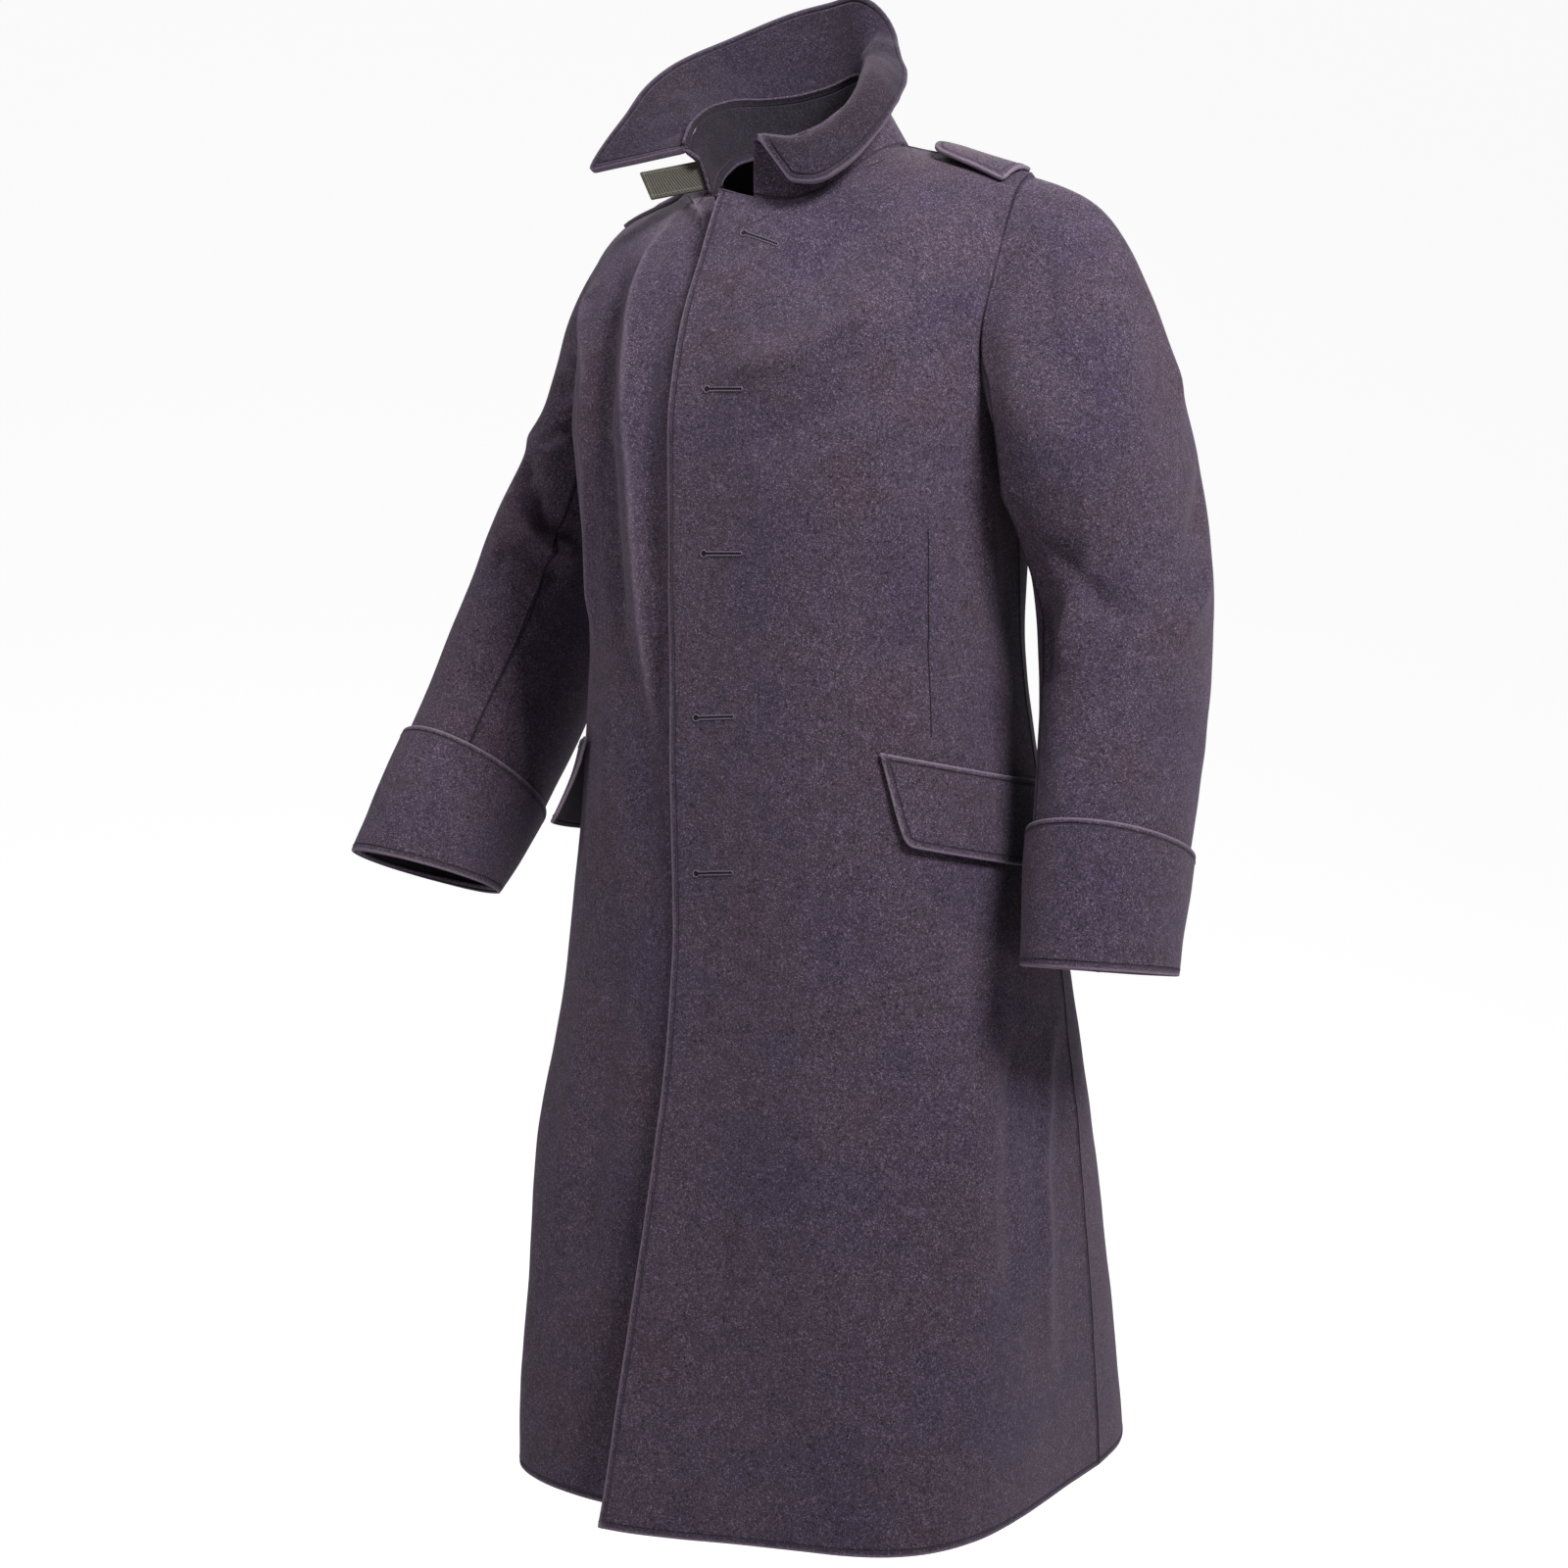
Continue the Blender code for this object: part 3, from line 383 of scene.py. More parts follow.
def mark_rim(mesh, edges, lines=(), wear=None):
    """Stores how far each vertex is from the stitched edges, and how pale it is on a fold's ridge, partly
    from wear and partly as painted highlight, for the material to read. A sewn line away from the edges
    counts as if it lay where their stitches do."""
    places = [vertex.co for vertex in mesh.vertices]
    rim = distances(places, along_edges(edges)) if edges else np.ones(len(places))
    if lines:
        rim = np.minimum(rim, STITCH_IN + distances(places, lines))
    mesh.attributes.new("rim", "FLOAT", "POINT").data.foreach_set("value", rim)
    worn = np.zeros(len(places))
    if wear is not None:
        worn[: len(wear)] = wear
    # The worn attribute marks paler fold ridges, partly wear and partly painted highlight.
    mesh.attributes.new("worn", "FLOAT", "POINT").data.foreach_set("value", worn)


TURNINGS = ((0.0010, 0.0006), (0.0012, 0.0018), (0.0020, 0.0020))


def turned_in(mesh, is_seam, turnings=TURNINGS):
    """Carries the cloth on past its seams and turns it in, as a sewn seam's turnings lie. Each step has
    its reach over the cloth and its depth."""
    shape = bmesh.new()
    shape.from_mesh(mesh)
    edges = [edge for edge in shape.edges
             if edge.is_boundary and is_seam((edge.verts[0].co + edge.verts[1].co) / 2,
                                             (edge.verts[1].co - edge.verts[0].co).normalized())]
    for reach, depth in turnings:
        shape.normal_update()
        ways = {}
        for edge in edges:
            middle = (edge.verts[0].co + edge.verts[1].co) / 2
            along = (edge.verts[1].co - edge.verts[0].co).normalized()
            out = middle - edge.link_faces[0].calc_center_median()
            out = (out - along * out.dot(along)).normalized()
            for vert in edge.verts:
                ways[vert] = ways.get(vert, Vector()) + out
        made = bmesh.ops.extrude_edge_only(shape, edges=edges)["geom"]
        fresh = {item for item in made if isinstance(item, bmesh.types.BMVert)}
        edges = [item for item in made if isinstance(item, bmesh.types.BMEdge)
                 and item.verts[0] in fresh and item.verts[1] in fresh]
        for old, out in ways.items():
            for edge in old.link_edges:
                other = edge.other_vert(old)
                if other in fresh:
                    other.co = old.co + out.normalized() * reach - old.normal * depth
    shape.to_mesh(mesh)
    shape.free()
    mesh.update()


# Topstitching is drawn about half as thick again as its thread, so that it shows. Its rows are gathered
# piece by piece and made after the last one.
STITCH_LENGTH = 0.0032
THREAD = 0.00034
stitches = []


def stitch_along(mesh, edges, inset):
    """Adds a row of stitches at a distance inside the open edges."""
    tree = tree_of([mesh])
    for start, end, inward in edges:
        count = max(1, round((end - start).length / STITCH_LENGTH))
        for k in range(count):
            row = []
            for share, lift in ((0.14, -0.0002), (0.5, 0.0002), (0.86, -0.0002)):
                wished = start.lerp(end, (k + share) / count) + inward * inset
                place, way = tree.find_nearest(wished)[:2]
                row.append(place + way * lift)
            if max((row[1] - row[0]).length, (row[2] - row[1]).length) < STITCH_LENGTH * 0.8:
                stitches.append(row)


def set_places(mesh, places):
    mesh.vertices.foreach_set("co", places.reshape(-1))
    mesh.update()


def sewn(name, mesh, node, thickness, material, inside=UNFADED_AND_SHADED):
    """Gives a sheet its thickness and rounded rims and lets it stand for its solid."""
    mesh.name = name
    mesh.materials.clear()
    mesh.materials.append(material)
    mesh.materials.append(inside)
    mesh.shade_smooth()
    piece = bpy.data.objects.new(name, mesh)
    bpy.context.scene.collection.objects.link(piece)
    wall = piece.modifiers.new("wall", "SOLIDIFY")
    wall.material_offset = 1
    wall.thickness = thickness
    wall.offset = -1.0
    soft = piece.modifiers.new("soft_rim", "BEVEL")
    soft.width = EDGE_ROUNDING
    soft.segments = 3
    soft.limit_method = "ANGLE"
    soft.angle_limit = math.radians(55)
    soft.use_clamp_overlap = name == "coat_collar_fall"
    soft.harden_normals = False
    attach(piece, "root")
    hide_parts(node)
    return piece


BODY_PIECES = ("front_left", "front_right", "back_left", "back_right")
body = {name: rounded(sheet_of(name, lambda p: Vector((p.x, p.y, 0)).normalized()), 3)
        for name in BODY_PIECES}
body_tree = tree_of(body.values())
right_tree = tree_of([body["front_right"]])
left_tree = tree_of([body["front_left"]])

# Folds that show: two ridges with troughs beside them down the right front, and slack over the chest,
# waist and skirt. Those behind are like them.
BEHIND = (0, -1, 0)
body_creases = [
    Crease(seen_on(right_tree, [(694, 206), (680, 236), (664, 258), (650, 300), (643, 345), (639, 387),
                                (643, 465), (648, 560), (656, 640), (664, 720), (668, 800)]), 0.010, 0.0080,
           4.5, 0.22),
    Crease(seen_on(right_tree, [(686, 240), (672, 290), (666, 350), (663, 420), (667, 520), (672, 620)]),
           0.010, -0.0030, 5),
    Crease(seen_on(right_tree, [(640, 250), (624, 310), (616, 390), (618, 480), (626, 600), (636, 700)]),
           0.016, -0.0105, 5),
    Crease(seen_on(right_tree, [(606, 262), (597, 310), (599, 382), (600, 479), (604, 600), (610, 680)]),
           0.011, 0.0068, 6, 0.18),
    Crease(seen_on(right_tree, [(697, 200), (709, 212), (724, 232)]), 0.005, 0.0050, 6, 0.2),
    Crease(seen_on(right_tree, [(676, 640), (662, 760), (655, 900)]), 0.016, -0.0050),
    Crease(seen_on(right_tree, [(630, 650), (622, 760), (618, 880)]), 0.016, 0.0050),
    Crease(seen_on(left_tree, [(733, 215), (704, 305), (688, 400), (690, 565), (686, 730), (687, 1000),
                               (668, 1200), (634, 1400), (612, 1530)]), 0.018, 0.0055, 9),
    Crease(seen_on(body_tree, [(722, 392), (765, 374), (815, 362), (870, 330), (905, 270)]), 0.018, 0.0110),
    Crease(seen_on(body_tree, [(735, 450), (800, 440), (870, 400), (920, 330)]), 0.022, -0.0075),
    Crease(seen_on(body_tree, [(790, 300), (850, 262), (895, 205)]), 0.024, -0.0085),
    Crease(seen_on(body_tree, [(990, 300), (970, 370), (950, 450), (940, 520)]), 0.022, -0.0070),
    Crease(seen_on(body_tree, [(1000, 420), (1008, 520), (1018, 640)]), 0.014, 0.0050),
    Crease(seen_on(body_tree, [(905, 560), (880, 640), (870, 720)]), 0.022, -0.0040),
    Crease(seen_on(body_tree, [(1086, 990), (1068, 1080), (1063, 1190), (1066, 1330), (1075, 1430)]),
           0.012, 0.0065),
    Crease(seen_on(body_tree, [(1045, 1000), (1035, 1100), (1030, 1220), (1035, 1380)]), 0.016, -0.0060),
    Crease(seen_on(body_tree, [(985, 930), (980, 1050), (975, 1200), (985, 1400)]), 0.026, 0.0030),
    Crease(seen_on(body_tree, [(905, 960), (900, 1100), (900, 1300), (905, 1500)]), 0.034, -0.0040),
    Crease(seen_on(body_tree, [(830, 960), (820, 1100), (815, 1300), (820, 1520)]), 0.030, 0.0035),
    Crease(seen_on(body_tree, [(745, 1120), (730, 1300), (715, 1500)]), 0.024, -0.0040),
    Crease(seen_on(body_tree, [(640, 900), (622, 1050), (600, 1230), (580, 1400)]), 0.016, -0.0055),
    Crease(seen_on(body_tree, [(600, 960), (585, 1100), (565, 1300)]), 0.016, 0.0045),
    Crease(hit_from(body_tree, BEHIND, [(0.05, -0.04), (0.09, -0.14), (0.15, -0.24)]), 0.022, 0.0045),
    Crease(hit_from(body_tree, BEHIND, [(-0.04, -0.07), (-0.10, -0.16), (-0.15, -0.27)]), 0.020, 0.0040),
    Crease(hit_from(body_tree, BEHIND, [(0.03, -0.20), (0.08, -0.30), (0.13, -0.38)]), 0.018, -0.0040),
    Crease(hit_from(body_tree, BEHIND, [(-0.02, -0.26), (-0.07, -0.35), (-0.13, -0.41)]), 0.018, -0.0035),
    Crease(hit_from(body_tree, BEHIND, [(0.07, -0.55), (0.085, -0.75), (0.10, -1.08)]), 0.022, 0.0065),
    Crease(hit_from(body_tree, BEHIND, [(0.14, -0.60), (0.155, -0.80), (0.17, -1.06)]), 0.020, -0.0060),
    Crease(hit_from(body_tree, BEHIND, [(-0.05, -0.60), (-0.06, -0.80), (-0.075, -1.09)]), 0.020, 0.0060),
    Crease(hit_from(body_tree, BEHIND, [(-0.12, -0.52), (-0.135, -0.75), (-0.15, -1.04)]), 0.024, -0.0060),
    Crease(hit_from(body_tree, (1, 0, 0), [(0.02, -0.55), (0.03, -0.75), (0.03, -1.05)]), 0.018, 0.0055),
    Crease(hit_from(body_tree, (1, 0, 0), [(-0.06, -0.50), (-0.07, -0.70), (-0.08, -1.00)]),
           0.020, -0.0055),
]

# The dart: a seam from below the chest down to the pocket, which pulls the cloth in a little.
dart = seen_on(left_tree, [(947 + k * 0.06, 540 + 4 * k) for k in range(54)])
body_creases.append(Crease(dart[::6], 0.005, -0.0018))

body_ridge_paling = {}
for name in BODY_PIECES:
    mesh = body[name]
    places, body_ridge_paling[name] = creased(places_of(mesh), ways_of(mesh), body_creases)
    set_places(mesh, uneven(places, ways_of(mesh), 0.0016))

# The open edges are the hem, below HEM_TOP, and the front edges, in front of FRONT_FACE and no further
# round than EDGE_REACH. The neck runs from above NECK_START and round from past NECK_ACROSS.
HEM_TOP = -1.10
LEVEL = 0.6
FRONT_FACE = -0.12
EDGE_REACH = {"left": 0.10, "right": 0.12}
NECK_START = -0.06
NECK_ACROSS = -0.02
for name in BODY_PIECES:
    mesh = body[name]
    front = name.startswith("front")
    side = name.split("_")[1]
    sign = 1 if side == "left" else -1

    def is_free(p, way):
        on_hem = p.z < HEM_TOP and abs(way.z) < LEVEL
        in_front = front and p.y < FRONT_FACE and sign * p.x < EDGE_REACH[side]
        on_neck = p.z > NECK_START and sign * p.x > NECK_ACROSS
        return on_hem or in_front and not on_neck

    free = open_edges(mesh, is_free)
    seams = open_edges(mesh, lambda p, way: not is_free(p, way))
    stitch_along(mesh, free, STITCH_IN)
    turned_in(mesh, lambda p, way: not is_free(p, way))
    mark_rim(mesh, free, along_edges(seams), body_ridge_paling[name])
    sewn("coat_" + name, mesh, name, MELTON_THICK, MELTON)

# The buttonholes: five keyholes worked in buttonhole twist down the left front, each 39 mm long with its
# round end towards the edge. A close purl of twist stands round the cut, which is a flat near-black face of
# painted shadow in the slit.
HOLE_MIDDLES = [(775, 243), (738, 397), (736, 565), (728, 732), (728, 891)]
HOLE_SLOPES = [0.30, 0.0, 0.0, -0.03, -0.03]
HOLE_LENGTH = 0.039
HOLE_HALF = 0.0014
EYE = 0.0029
PURL = 0.00080
front_tree = tree_of([body["front_left"]])


def keyhole(half, eye):
    """The outline of a keyhole, with its round end towards the left, in metres from its middle."""
    eye_at = -HOLE_LENGTH / 2 + EYE
    opening = math.asin(half / eye)
    path = [(HOLE_LENGTH / 2, 0.0)]
    path += [(HOLE_LENGTH / 2 - 0.001 - 0.004 * k, half) for k in range(7)]
    path += [(eye_at + eye * math.cos(a), eye * math.sin(a))
             for a in np.linspace(opening, 2 * math.pi - opening, 16)]
    path += [(HOLE_LENGTH / 2 - 0.001 - 0.004 * k, -half) for k in reversed(range(7))]
    return path


def on_front(middle, slope, outline, lift):
    """An outline laid on the left front round a picture point, level but for its slope."""
    x, y = middle
    centre, left, low = seen_on(front_tree, [(x, y), (x - 30, y), (x, y + 30)])
    along = (centre - left).normalized()
    down = low - centre
    down = (down - along * down.dot(along)).normalized()
    along = (along + down * slope).normalized()
    across = (down - along * down.dot(along)).normalized()
    laid = []
    for x, y in outline:
        place, way = front_tree.find_nearest(centre + along * x + across * y)[:2]
        laid.append(place + way * lift)
    return laid


def threads(name, paths, thick, closed):
    """Lengths of thread as one mesh."""
    line = bpy.data.curves.new(name, "CURVE")
    line.dimensions = "3D"
    line.bevel_depth = thick
    line.bevel_resolution = 1
    line.use_fill_caps = True
    for path in paths:
        spline = line.splines.new("POLY")
        spline.points.add(len(path) - 1)
        for point, place in zip(spline.points, path):
            point.co = (*place, 1.0)
        spline.use_cyclic_u = closed
    holder = bpy.data.objects.new(name, line)
    bpy.context.scene.collection.objects.link(holder)
    graph = bpy.context.evaluated_depsgraph_get()
    mesh = bpy.data.meshes.new_from_object(holder.evaluated_get(graph))
    bpy.data.objects.remove(holder)
    bpy.data.curves.remove(line)
    mesh.shade_smooth()
    mesh.name = name
    return mesh


def put(name, mesh, material):
    """Adds a small sewn detail to the coat."""
    mesh.materials.clear()
    mesh.materials.append(material)
    piece = bpy.data.objects.new(name, mesh)
    bpy.context.scene.collection.objects.link(piece)
    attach(piece, "root")


def twisted_thread(name, shade, bright, turn):
    """Thread: a matt twist, whose turns show as fine dark and light bands."""
    material = bpy.data.materials.new(name)
    material.use_nodes = True
    tree = material.node_tree
    shader = tree.nodes["Principled BSDF"]
    place = add(tree, "TexCoord", {}).outputs["Object"]
    bands = add(tree, "TexWave", {"Vector": place, "Scale": WAVE_AT_1_MM / turn, "Distortion": 1.5,
                                  "bands_direction": "DIAGONAL"})
    shades = add(tree, "ValToRGB", {0: bands.outputs["Fac"], "stops": [
        (0.25, colour(shade)), (0.75, colour(bright))]})
    tree.links.new(shades.outputs[0], shader.inputs["Base Color"])
    bump = add(tree, "Bump", {"Strength": 0.6, "Distance": 0.0003, "Height": bands.outputs["Fac"]})
    tree.links.new(bump.outputs[0], shader.inputs["Normal"])
    shader.inputs["Roughness"].default_value = 0.8
    shader.inputs["Specular IOR Level"].default_value = 0.2
    return material


TWIST = twisted_thread("buttonhole_twist_purled", "2f2934", "5d5464", 1.0)
holes = list(zip(HOLE_MIDDLES, HOLE_SLOPES))
purl = threads("coat_buttonholes", [on_front(*hole, keyhole(HOLE_HALF, EYE), 0.0002) for hole in holes],
               PURL, True)
put("coat_buttonholes", purl, TWIST)
# Each cut is a flat near-black face laid just over the cloth: painted shadow in the slit.
slit_shadows = bmesh.new()
for hole in holes:
    slit_shadows.faces.new([slit_shadows.verts.new(place) for place in on_front(*hole, keyhole(0.0010, 0.0024), 0.0003)])
bmesh.ops.triangulate(slit_shadows, faces=slit_shadows.faces)
slit_shadow_mesh = bpy.data.meshes.new("coat_buttonhole_slit_shadows")
slit_shadows.to_mesh(slit_shadow_mesh)
slit_shadows.free()
put("coat_buttonhole_slit_shadows", slit_shadow_mesh, twisted_thread("buttonhole_slit_painted_shadow", "060506", "0c0a0d", 2.0))

# The dart is sewn from inside, so only a closed line of shadow shows where its two sides meet. It is drawn
# as a thin near-black thread, a line of painted shadow.
dart_line = [front_tree.find_nearest(place)[0] for place in dart]
put("coat_dart", threads("coat_dart", [dart_line], 0.0006, False),
    twisted_thread("dart_line_painted_shadow", "0e0b0f", "1a161c", 2.0))

# The pocket flaps: single pieces of melton, stitched round and sewn on along the top.
for side in ("left", "right"):
    node = "pocket_flap_" + side
    mesh = rounded(sheet_of(node, lambda p: Vector((p.x, p.y, 0)).normalized()), 3)
    set_places(mesh, uneven(places_of(mesh), ways_of(mesh), 0.0012))
    edges = open_edges(mesh, everywhere)
    stitch_along(mesh, edges, STITCH_IN)
    mark_rim(mesh, edges)
    sewn("coat_" + node, mesh, node, MELTON_THICK, MELTON)

# The sleeves: each is a top and an under piece, set into the armhole with a little fullness. A
# turned-back cuff of the same melton lies round the end.
ALONG_ARM = 0.75
for side, sign in (("left", 1), ("right", -1)):
    def from_arm(p):
        """The way out from the middle line of the arm, which leans forward below the elbow."""
        share = min(max((-0.24 - p.z) / 0.40, 0), 1)
        low = (0.302, -0.055) if sign > 0 else (0.350, -0.130)
        high = (0.276, 0.020) if sign > 0 else (0.266, 0.030)
        x = high[0] + (low[0] - high[0]) * share
        y = high[1] + (low[1] - high[1]) * share
        return Vector((p.x - sign * x, p.y - y, 0.6 if p.z > -0.12 else 0)).normalized()

    down_arm = Vector((0.07, -0.34, -0.94)) if sign > 0 else Vector((-0.10, -0.57, -0.81))

    def on_cuff_seam(p, way):
        """Whether a cuff's edge runs along the arm, where its two ends are sewn together."""
        return abs(way.dot(down_arm)) >= ALONG_ARM

    arm = {kind: rounded(sheet_of(f"sleeve_{kind}_{side}", from_arm), 3) for kind in ("top", "under")}
    arm_tree = tree_of(arm.values())
    if side == "left":
        arm_creases = [
            Crease(seen_on(arm_tree, [(1052, 548), (1090, 575), (1122, 615), (1165, 640)]),
                   0.012, -0.0075),
            Crease(seen_on(arm_tree, [(1112, 560), (1095, 610), (1078, 690)]), 0.009, 0.0080),
            Crease(seen_on(arm_tree, [(1060, 600), (1070, 650), (1068, 710)]), 0.010, -0.0060),
            Crease(seen_on(arm_tree, [(1018, 430), (1030, 500), (1042, 560), (1052, 610), (1060, 690)]),
                   0.014, 0.0100),
            Crease(seen_on(arm_tree, [(1022, 280), (1032, 360), (1052, 460)]), 0.016, 0.0045),
            Crease(seen_on(arm_tree, [(1060, 240), (1075, 330), (1090, 430)]), 0.016, -0.0035),
            Crease(seen_on(arm_tree, [(1110, 230), (1140, 320), (1165, 440), (1180, 560)]), 0.022, 0.0035),
            Crease(seen_on(arm_tree, [(1160, 655), (1200, 690), (1238, 705)]), 0.016, 0.0040),
            Crease(seen_on(arm_tree, [(1150, 720), (1190, 745), (1230, 752)]), 0.016, -0.0030),
            Crease(seen_on(arm_tree, [(1100, 740), (1110, 790), (1108, 840)]), 0.014, -0.0030),
        ]
    else:
        arm_creases = [
            Crease(seen_on(arm_tree, [(560, 386), (574, 399), (584, 412), (590, 430)]), 0.016, -0.0150, 9),
            Crease(seen_on(arm_tree, [(541, 432), (550, 450), (564, 458), (594, 434)]),
                   0.018, 0.0100, 6, 0.15),
            Crease(seen_on(arm_tree, [(536, 474), (549, 512), (560, 538), (574, 548), (598, 549)]), 0.009,
                   -0.0120, 8),
            Crease(seen_on(arm_tree, [(520, 500), (540, 540), (562, 562), (597, 570)]),
                   0.009, 0.0080, 6, 0.15),
            Crease(seen_on(arm_tree, [(502, 568), (535, 572), (575, 592)]), 0.010, -0.0085, 8),
            Crease(seen_on(arm_tree, [(495, 600), (530, 620), (560, 650)]), 0.014, 0.0040),
            Crease(seen_on(arm_tree, [(575, 320), (590, 350), (596, 390)]), 0.012, 0.0040),
            Crease(seen_on(arm_tree, [(470, 670), (490, 700), (500, 750)]), 0.014, -0.0040),
        ]
    outside = (-sign, 0, 0)
    arm_creases += [
        Crease(hit_from(arm_tree, outside, [(sign * 0.07, -0.10), (sign * 0.04, -0.18), (0.0, -0.24)]),
               0.016, 0.0040),
        Crease(hit_from(arm_tree, outside, [(sign * 0.08, -0.24), (sign * 0.03, -0.30), (0.0, -0.33)]),
               0.013, -0.0060),
        Crease(hit_from(arm_tree, outside,
                        [(sign * 0.07, -0.31), (sign * 0.03, -0.36), (-sign * 0.02, -0.40)]),
               0.013, 0.0050),
        Crease(hit_from(arm_tree, BEHIND,
                        [(-sign * 0.24, -0.26), (-sign * 0.28, -0.31), (-sign * 0.33, -0.32)]),
               0.013, -0.0060),
        Crease(hit_from(arm_tree, BEHIND,
                        [(-sign * 0.24, -0.33), (-sign * 0.29, -0.37), (-sign * 0.34, -0.38)]),
               0.014, 0.0050),
    ]
    for kind, mesh in arm.items():
        places, wear = creased(places_of(mesh), ways_of(mesh), arm_creases)
        set_places(mesh, uneven(places, ways_of(mesh), 0.0016))
        seams = open_edges(mesh, everywhere)
        turned_in(mesh, everywhere)
        mark_rim(mesh, [], along_edges(seams), wear)
        node = f"sleeve_{kind}_{side}"
        sewn("coat_" + node, mesh, node, MELTON_THICK, MELTON)

    node = "cuff_" + side
    mesh = rounded(sheet_of(node, from_arm), 3)
    set_places(mesh, uneven(places_of(mesh), ways_of(mesh), 0.0022))
    edges = open_edges(mesh, lambda p, way: not on_cuff_seam(p, way))
    seams = open_edges(mesh, on_cuff_seam)
    stitch_along(mesh, edges, STITCH_IN)
    turned_in(mesh, on_cuff_seam)
    mark_rim(mesh, edges, along_edges(seams))
    sewn("coat_" + node, mesh, node, MELTON_THICK, MELTON)

# The collar: a stand sewn to the neck and a deep fall sewn to the stand, both of doubled cloth. The
# fall is folded down on the left and stands half open on the right.
COLLAR_THICK = 0.004
FALL_THICK = 0.0052

# How near two edges lie that are sewn together, how far stitches and turnings stop short of the fall's
# corners, and how steep the stand's front ends are.
TO_STAND = 0.004
TO_ROLL = 0.0035
CORNER = 0.009
UPRIGHT = 0.85

# The reach and depth of each step in which the collar's seams are turned in.
ROLL_TURNINGS = ((0.0013, 0.0002), (0.0015, 0.0004))
NECK_TURNINGS = ((0.0030, 0.0008), (0.0030, 0.0012), (0.0030, 0.0012))
stand = rounded(sheet_of("collar_stand", lambda p: Vector((p.x, p.y, 0)).normalized()), 3)
stand_edge = [start for start, end, _ in open_edges(stand, everywhere)]
fall = rounded(sheet_of("collar_fall", lambda p: Vector((0, 0, -1))), 2, "ALL")
fall_tree = tree_of([fall])
fall_creases = [
    Crease(seen_on(fall_tree, [(728, 118), (700, 108), (664, 112)]), 0.009, -0.0035),
    Crease(seen_on(fall_tree, [(724, 140), (700, 136), (668, 148)]), 0.008, 0.0030),
    Crease(seen_on(fall_tree, [(765, 90), (745, 74), (725, 60)]), 0.010, 0.0026),
    Crease(seen_on(fall_tree, [(880, 130), (850, 140), (815, 160)]), 0.012, 0.0020),
]
places, wear = creased(places_of(fall), ways_of(fall), fall_creases)
set_places(fall, uneven(places, ways_of(fall), 0.0014))


def nearest(p, places):
    """How far the nearest of the places is."""
    return min((p - place).length for place in places)


def is_roll(p, way):
    """Whether a place lies where the fall is sewn to the stand."""
    return nearest(p, stand_edge) < TO_STAND


free = open_edges(fall, lambda p, way: not is_roll(p, way))
roll = open_edges(fall, is_roll)
roll_places = [start for start, end, _ in roll]
free_places = along_edges(free)
stitch_along(fall, [edge for edge in free if nearest(edge[0], roll_places) > CORNER], STITCH_IN)
turned_in(fall, lambda p, way: is_roll(p, way) and nearest(p, free_places) > CORNER, ROLL_TURNINGS)
mark_rim(fall, free, along_edges(roll))


def at_roll(p, way):
    """Whether a place of the stand's edge lies against the fall's."""
    return nearest(p, roll_places) < TO_ROLL


def at_neck(p, way):
    """Whether a place lies where the stand is sewn to the neck, and not on its short front ends."""
    return not at_roll(p, way) and abs(way.z) < UPRIGHT


seams = open_edges(stand, lambda p, way: at_roll(p, way) or at_neck(p, way))
turned_in(stand, at_neck, NECK_TURNINGS)
turned_in(stand, at_roll, ROLL_TURNINGS)
mark_rim(stand, [], along_edges(seams))
sewn("coat_collar_stand", stand, "collar_stand", COLLAR_THICK, MELTON)
# The fall's inner face takes the darker material: painted shade inside the collar.
sewn("coat_collar_fall", fall, "collar_fall", FALL_THICK, MELTON,
     FALL_INSIDE_PAINTED_SHADE)

# The shoulder straps: doubled melton, set into the sleeve head and free towards the neck.
STRAP_SETTLE = {"left": 0.001, "right": 0.0045}
for side in ("left", "right"):
    node = "shoulder_strap_" + side
    mesh = rounded(sheet_of(node, lambda p: Vector((0, 0, 1))), 3, "ALL")
    places = places_of(mesh)
    places[:, 2] -= STRAP_SETTLE[side]
    set_places(mesh, places)
    edges = open_edges(mesh, everywhere)
    stitch_along(mesh, edges, STITCH_IN)
    mark_rim(mesh, edges)
    sewn("coat_" + node, mesh, node, COLLAR_THICK, MELTON)

# The throat tab: olive-grey cotton drill, whose face shows fine slanting ribs under a worn surface. It
# is sewn to the stand and stitched round with pale thread.
TAB_STITCH_IN = 0.0030
RIB = 1.1
YARN = 1.5


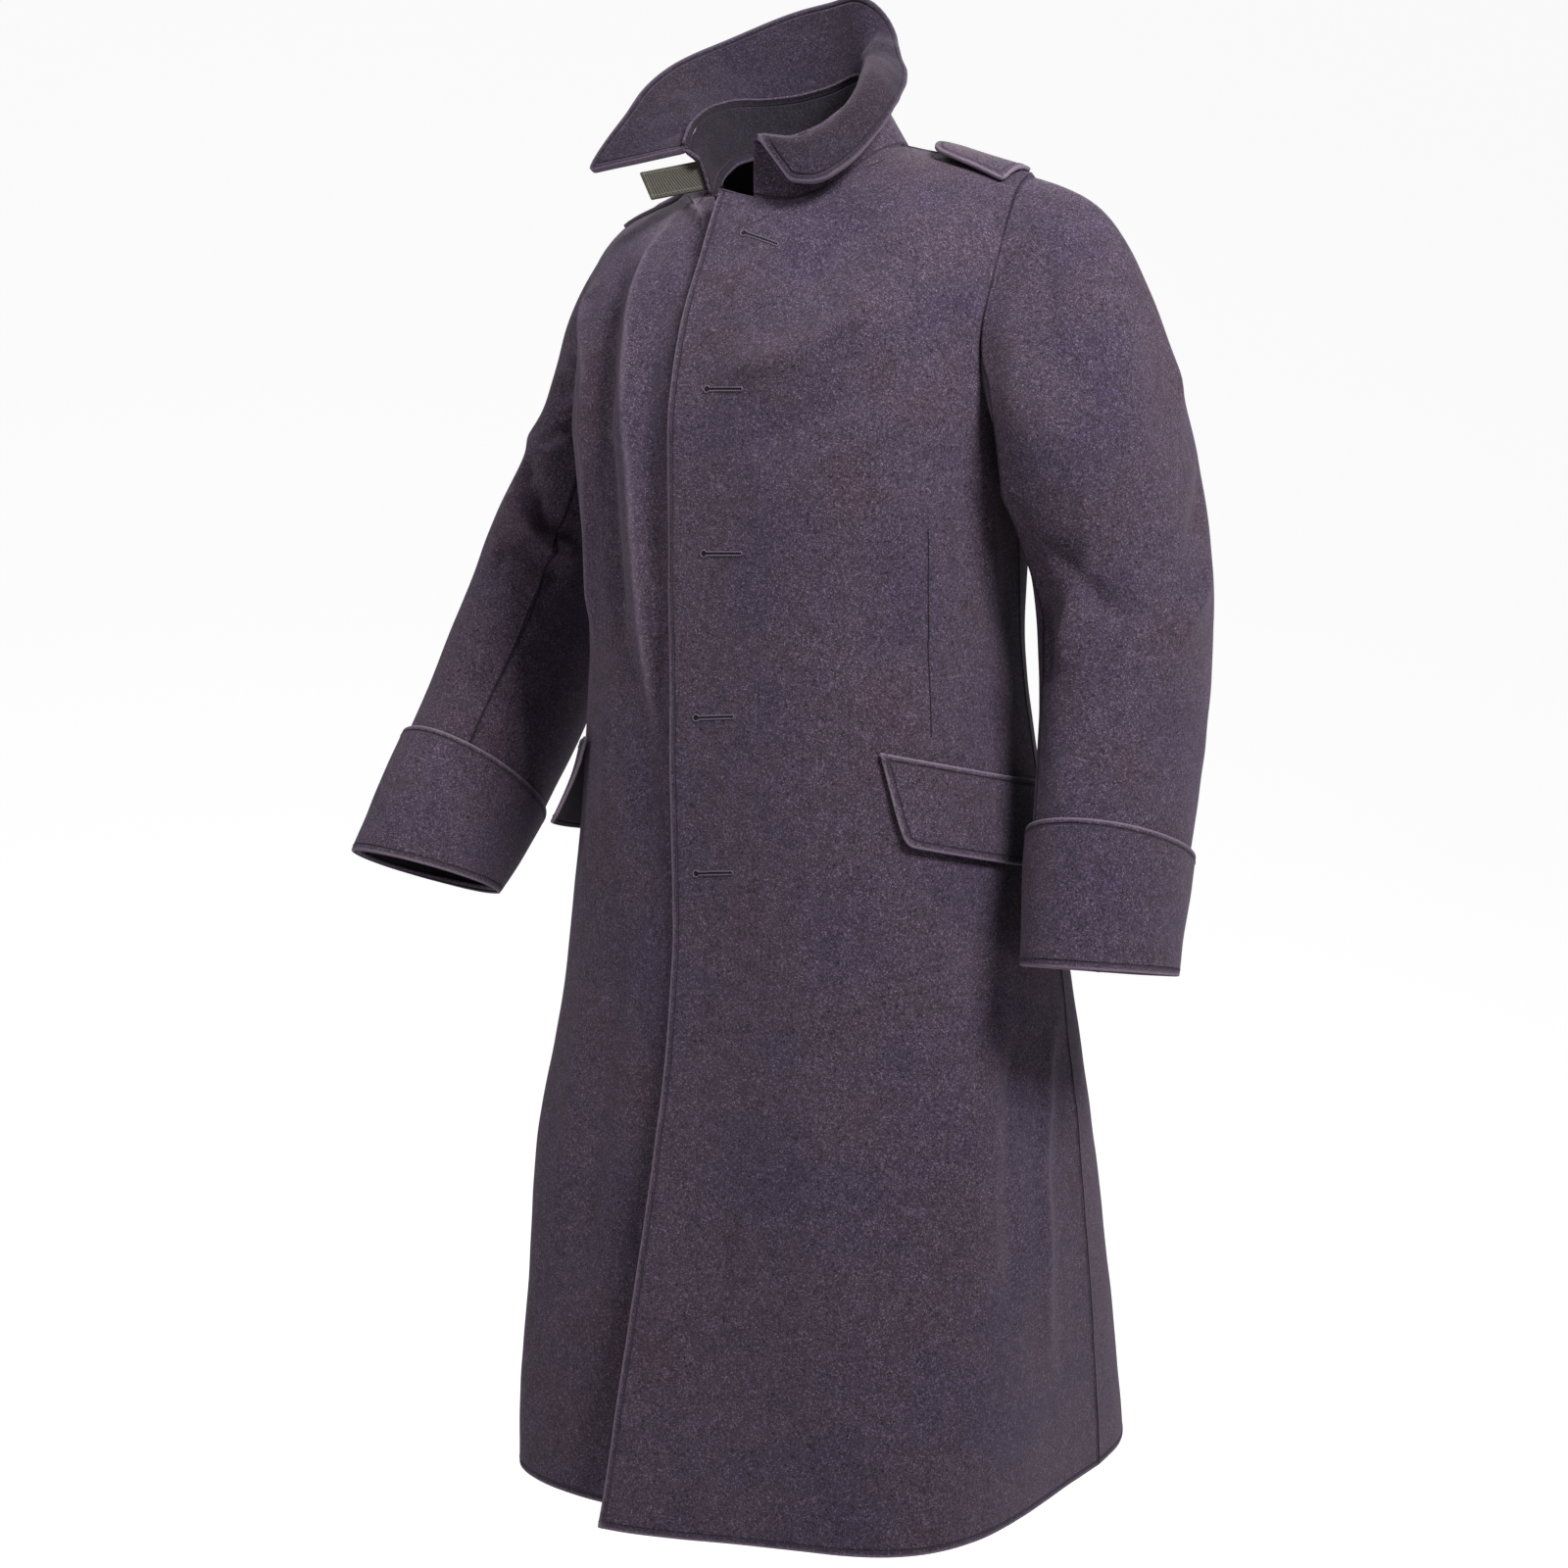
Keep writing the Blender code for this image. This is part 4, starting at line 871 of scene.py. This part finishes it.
def woven_drill(name, deep, face, worn):
    """Cotton drill: steep twill ribs, drawn a little wider than they are, with uneven yarn, wear, and paler
    rims that are partly painted highlight.
    """
    material = bpy.data.materials.new(name)
    material.use_nodes = True
    tree = material.node_tree
    shader = tree.nodes["Principled BSDF"]
    place = add(tree, "TexCoord", {}).outputs["Object"]
    turned = add(tree, "Mapping", {"Vector": place, "Rotation": (0.35, math.radians(28), 0.55)})
    ribs = add(tree, "TexWave", {"Vector": turned.outputs[0], "Scale": WAVE_AT_1_MM / RIB,
                                 "Distortion": 1.2, "Detail": 2.0, "Detail Scale": 2.0})
    yarn = add(tree, "TexNoise", {"Vector": place, "Scale": NOISE_AT_1_MM / YARN, "Detail": 2.0})
    woven = add(tree, "Math", {"operation": "MULTIPLY_ADD", 0: yarn.outputs[0], 1: 0.55,
                               2: ribs.outputs["Fac"]})
    shades = add(tree, "ValToRGB", {0: woven.outputs[0], "stops": [
        (0.30, colour(deep)), (0.75, colour(face)), (1.00, colour(worn))]})
    rim = add(tree, "Attribute", {"attribute_name": "rim"}).outputs["Fac"]
    # Paler rims, partly rubbed cotton and partly painted highlight.
    rubbed_and_highlit_rim = add(tree, "MapRange", {"interpolation_type": "SMOOTHSTEP", 0: rim,
                                    1: 0.0, 2: 0.0022, 3: 0.45, 4: 0.0})
    final = add(tree, "Mix", {"data_type": "RGBA", 0: rubbed_and_highlit_rim.outputs[0], 6: shades.outputs[0],
                              7: colour(worn)})
    tree.links.new(final.outputs[2], shader.inputs["Base Color"])
    bump = add(tree, "Bump", {"Strength": 0.5, "Distance": 0.0004, "Height": woven.outputs[0]})
    tree.links.new(bump.outputs[0], shader.inputs["Normal"])
    shader.inputs["Roughness"].default_value = 0.88
    shader.inputs["Specular IOR Level"].default_value = 0.2
    return material


DRILL = woven_drill("cotton_drill_woven", "22201c", "2d2b27", "403e38")
mesh = rounded(sheet_of("throat_tab", lambda p: Vector((0, -1, 0))), 3)
edges = open_edges(mesh, everywhere)
mark_rim(mesh, edges)
body_stitches, stitches = stitches, []
stitch_along(mesh, edges, TAB_STITCH_IN)
tab_stitches = stitches
sewn("coat_throat_tab", mesh, "throat_tab", MELTON_THICK, DRILL)

# The topstitching, in dark grey linen thread on the melton and pale thread on the tab.
put("coat_topstitching", threads("coat_topstitching", body_stitches, THREAD, False),
    twisted_thread("linen_thread_waxed", "29242d", "4b4351", 0.8))
put("coat_tab_stitching", threads("coat_tab_stitching", tab_stitches, THREAD, False),
    twisted_thread("cotton_thread_pale", "4d4a43", "68645b", 0.8))

# The studio: white paper, lit through, on the floor and up behind the coat, a large soft light with a
# hood above on the right, weaker ones on the left and behind, and an even surround.
FLOOR = -1.50
COVE_STEP = 2.2
floor_shape = bmesh.new()
ends = [floor_shape.verts.new((across, -6, FLOOR)) for across in (-9, 9)]
line = [floor_shape.edges.new(ends)]
curve = [(0, COVE_STEP * math.cos(math.radians(a)), COVE_STEP * math.sin(math.radians(a)))
         for a in range(5, 90, 10)]
for step in [(0, 9.0, 0)] + curve + [(0, 0, 6.0)]:
    made = bmesh.ops.extrude_edge_only(floor_shape, edges=line)
    verts = [item for item in made["geom"] if isinstance(item, bmesh.types.BMVert)]
    bmesh.ops.translate(floor_shape, verts=verts, vec=step)
    line = [item for item in made["geom"] if isinstance(item, bmesh.types.BMEdge)
            and all(vert in verts for vert in item.verts)]
bmesh.ops.rotate(floor_shape, verts=floor_shape.verts, cent=(0, 0, 0),
                 matrix=Euler((0, 0, math.radians(32))).to_matrix())
bmesh.ops.recalc_face_normals(floor_shape, faces=floor_shape.faces)
floor_mesh = bpy.data.meshes.new("studio_floor")
floor_shape.to_mesh(floor_mesh)
floor_shape.free()
floor_mesh.shade_smooth()
paper = bpy.data.materials.new("matt_white_paper")
paper.use_nodes = True
for key, value in (("Base Color", colour("828282")), ("Emission Color", colour("ffffff")),
                   ("Emission Strength", 0.87), ("Roughness", 0.9)):
    paper.node_tree.nodes["Principled BSDF"].inputs[key].default_value = value
floor_mesh.materials.append(paper)
floor = bpy.data.objects.new("studio_floor", floor_mesh)
bpy.context.scene.collection.objects.link(floor)

for name, place, aim, size, beam, power in (
    ("key_light", (2.3, -1.1, 1.7), (0.35, -0.10, 0.50), 1.0, 86, 57.0),
    ("fill_light", (-1.7, -1.4, 2.2), (-0.35, -0.05, -0.02), 1.0, 45, 4.5),
    ("back_light", (-1.4, 2.6, 1.8), (0.0, 0.1, -0.4), 1.4, 90, 34.0),
):
    data = bpy.data.lights.new(name, "AREA")
    data.size = size
    data.energy = power
    data.spread = math.radians(beam)
    lamp = bpy.data.objects.new(name, data)
    lamp.location = place
    lamp.visible_camera = False
    lamp.rotation_euler = (Vector(aim) - Vector(place)).to_track_quat("-Z", "Y").to_euler()
    bpy.context.scene.collection.objects.link(lamp)

world = bpy.data.worlds.new("studio_surround")
world.use_nodes = True
world.node_tree.nodes["Background"].inputs["Color"].default_value = colour("ffffff")
world.node_tree.nodes["Background"].inputs["Strength"].default_value = 0.24
bpy.context.scene.world = world
bpy.context.scene.view_settings.view_transform = "Standard"
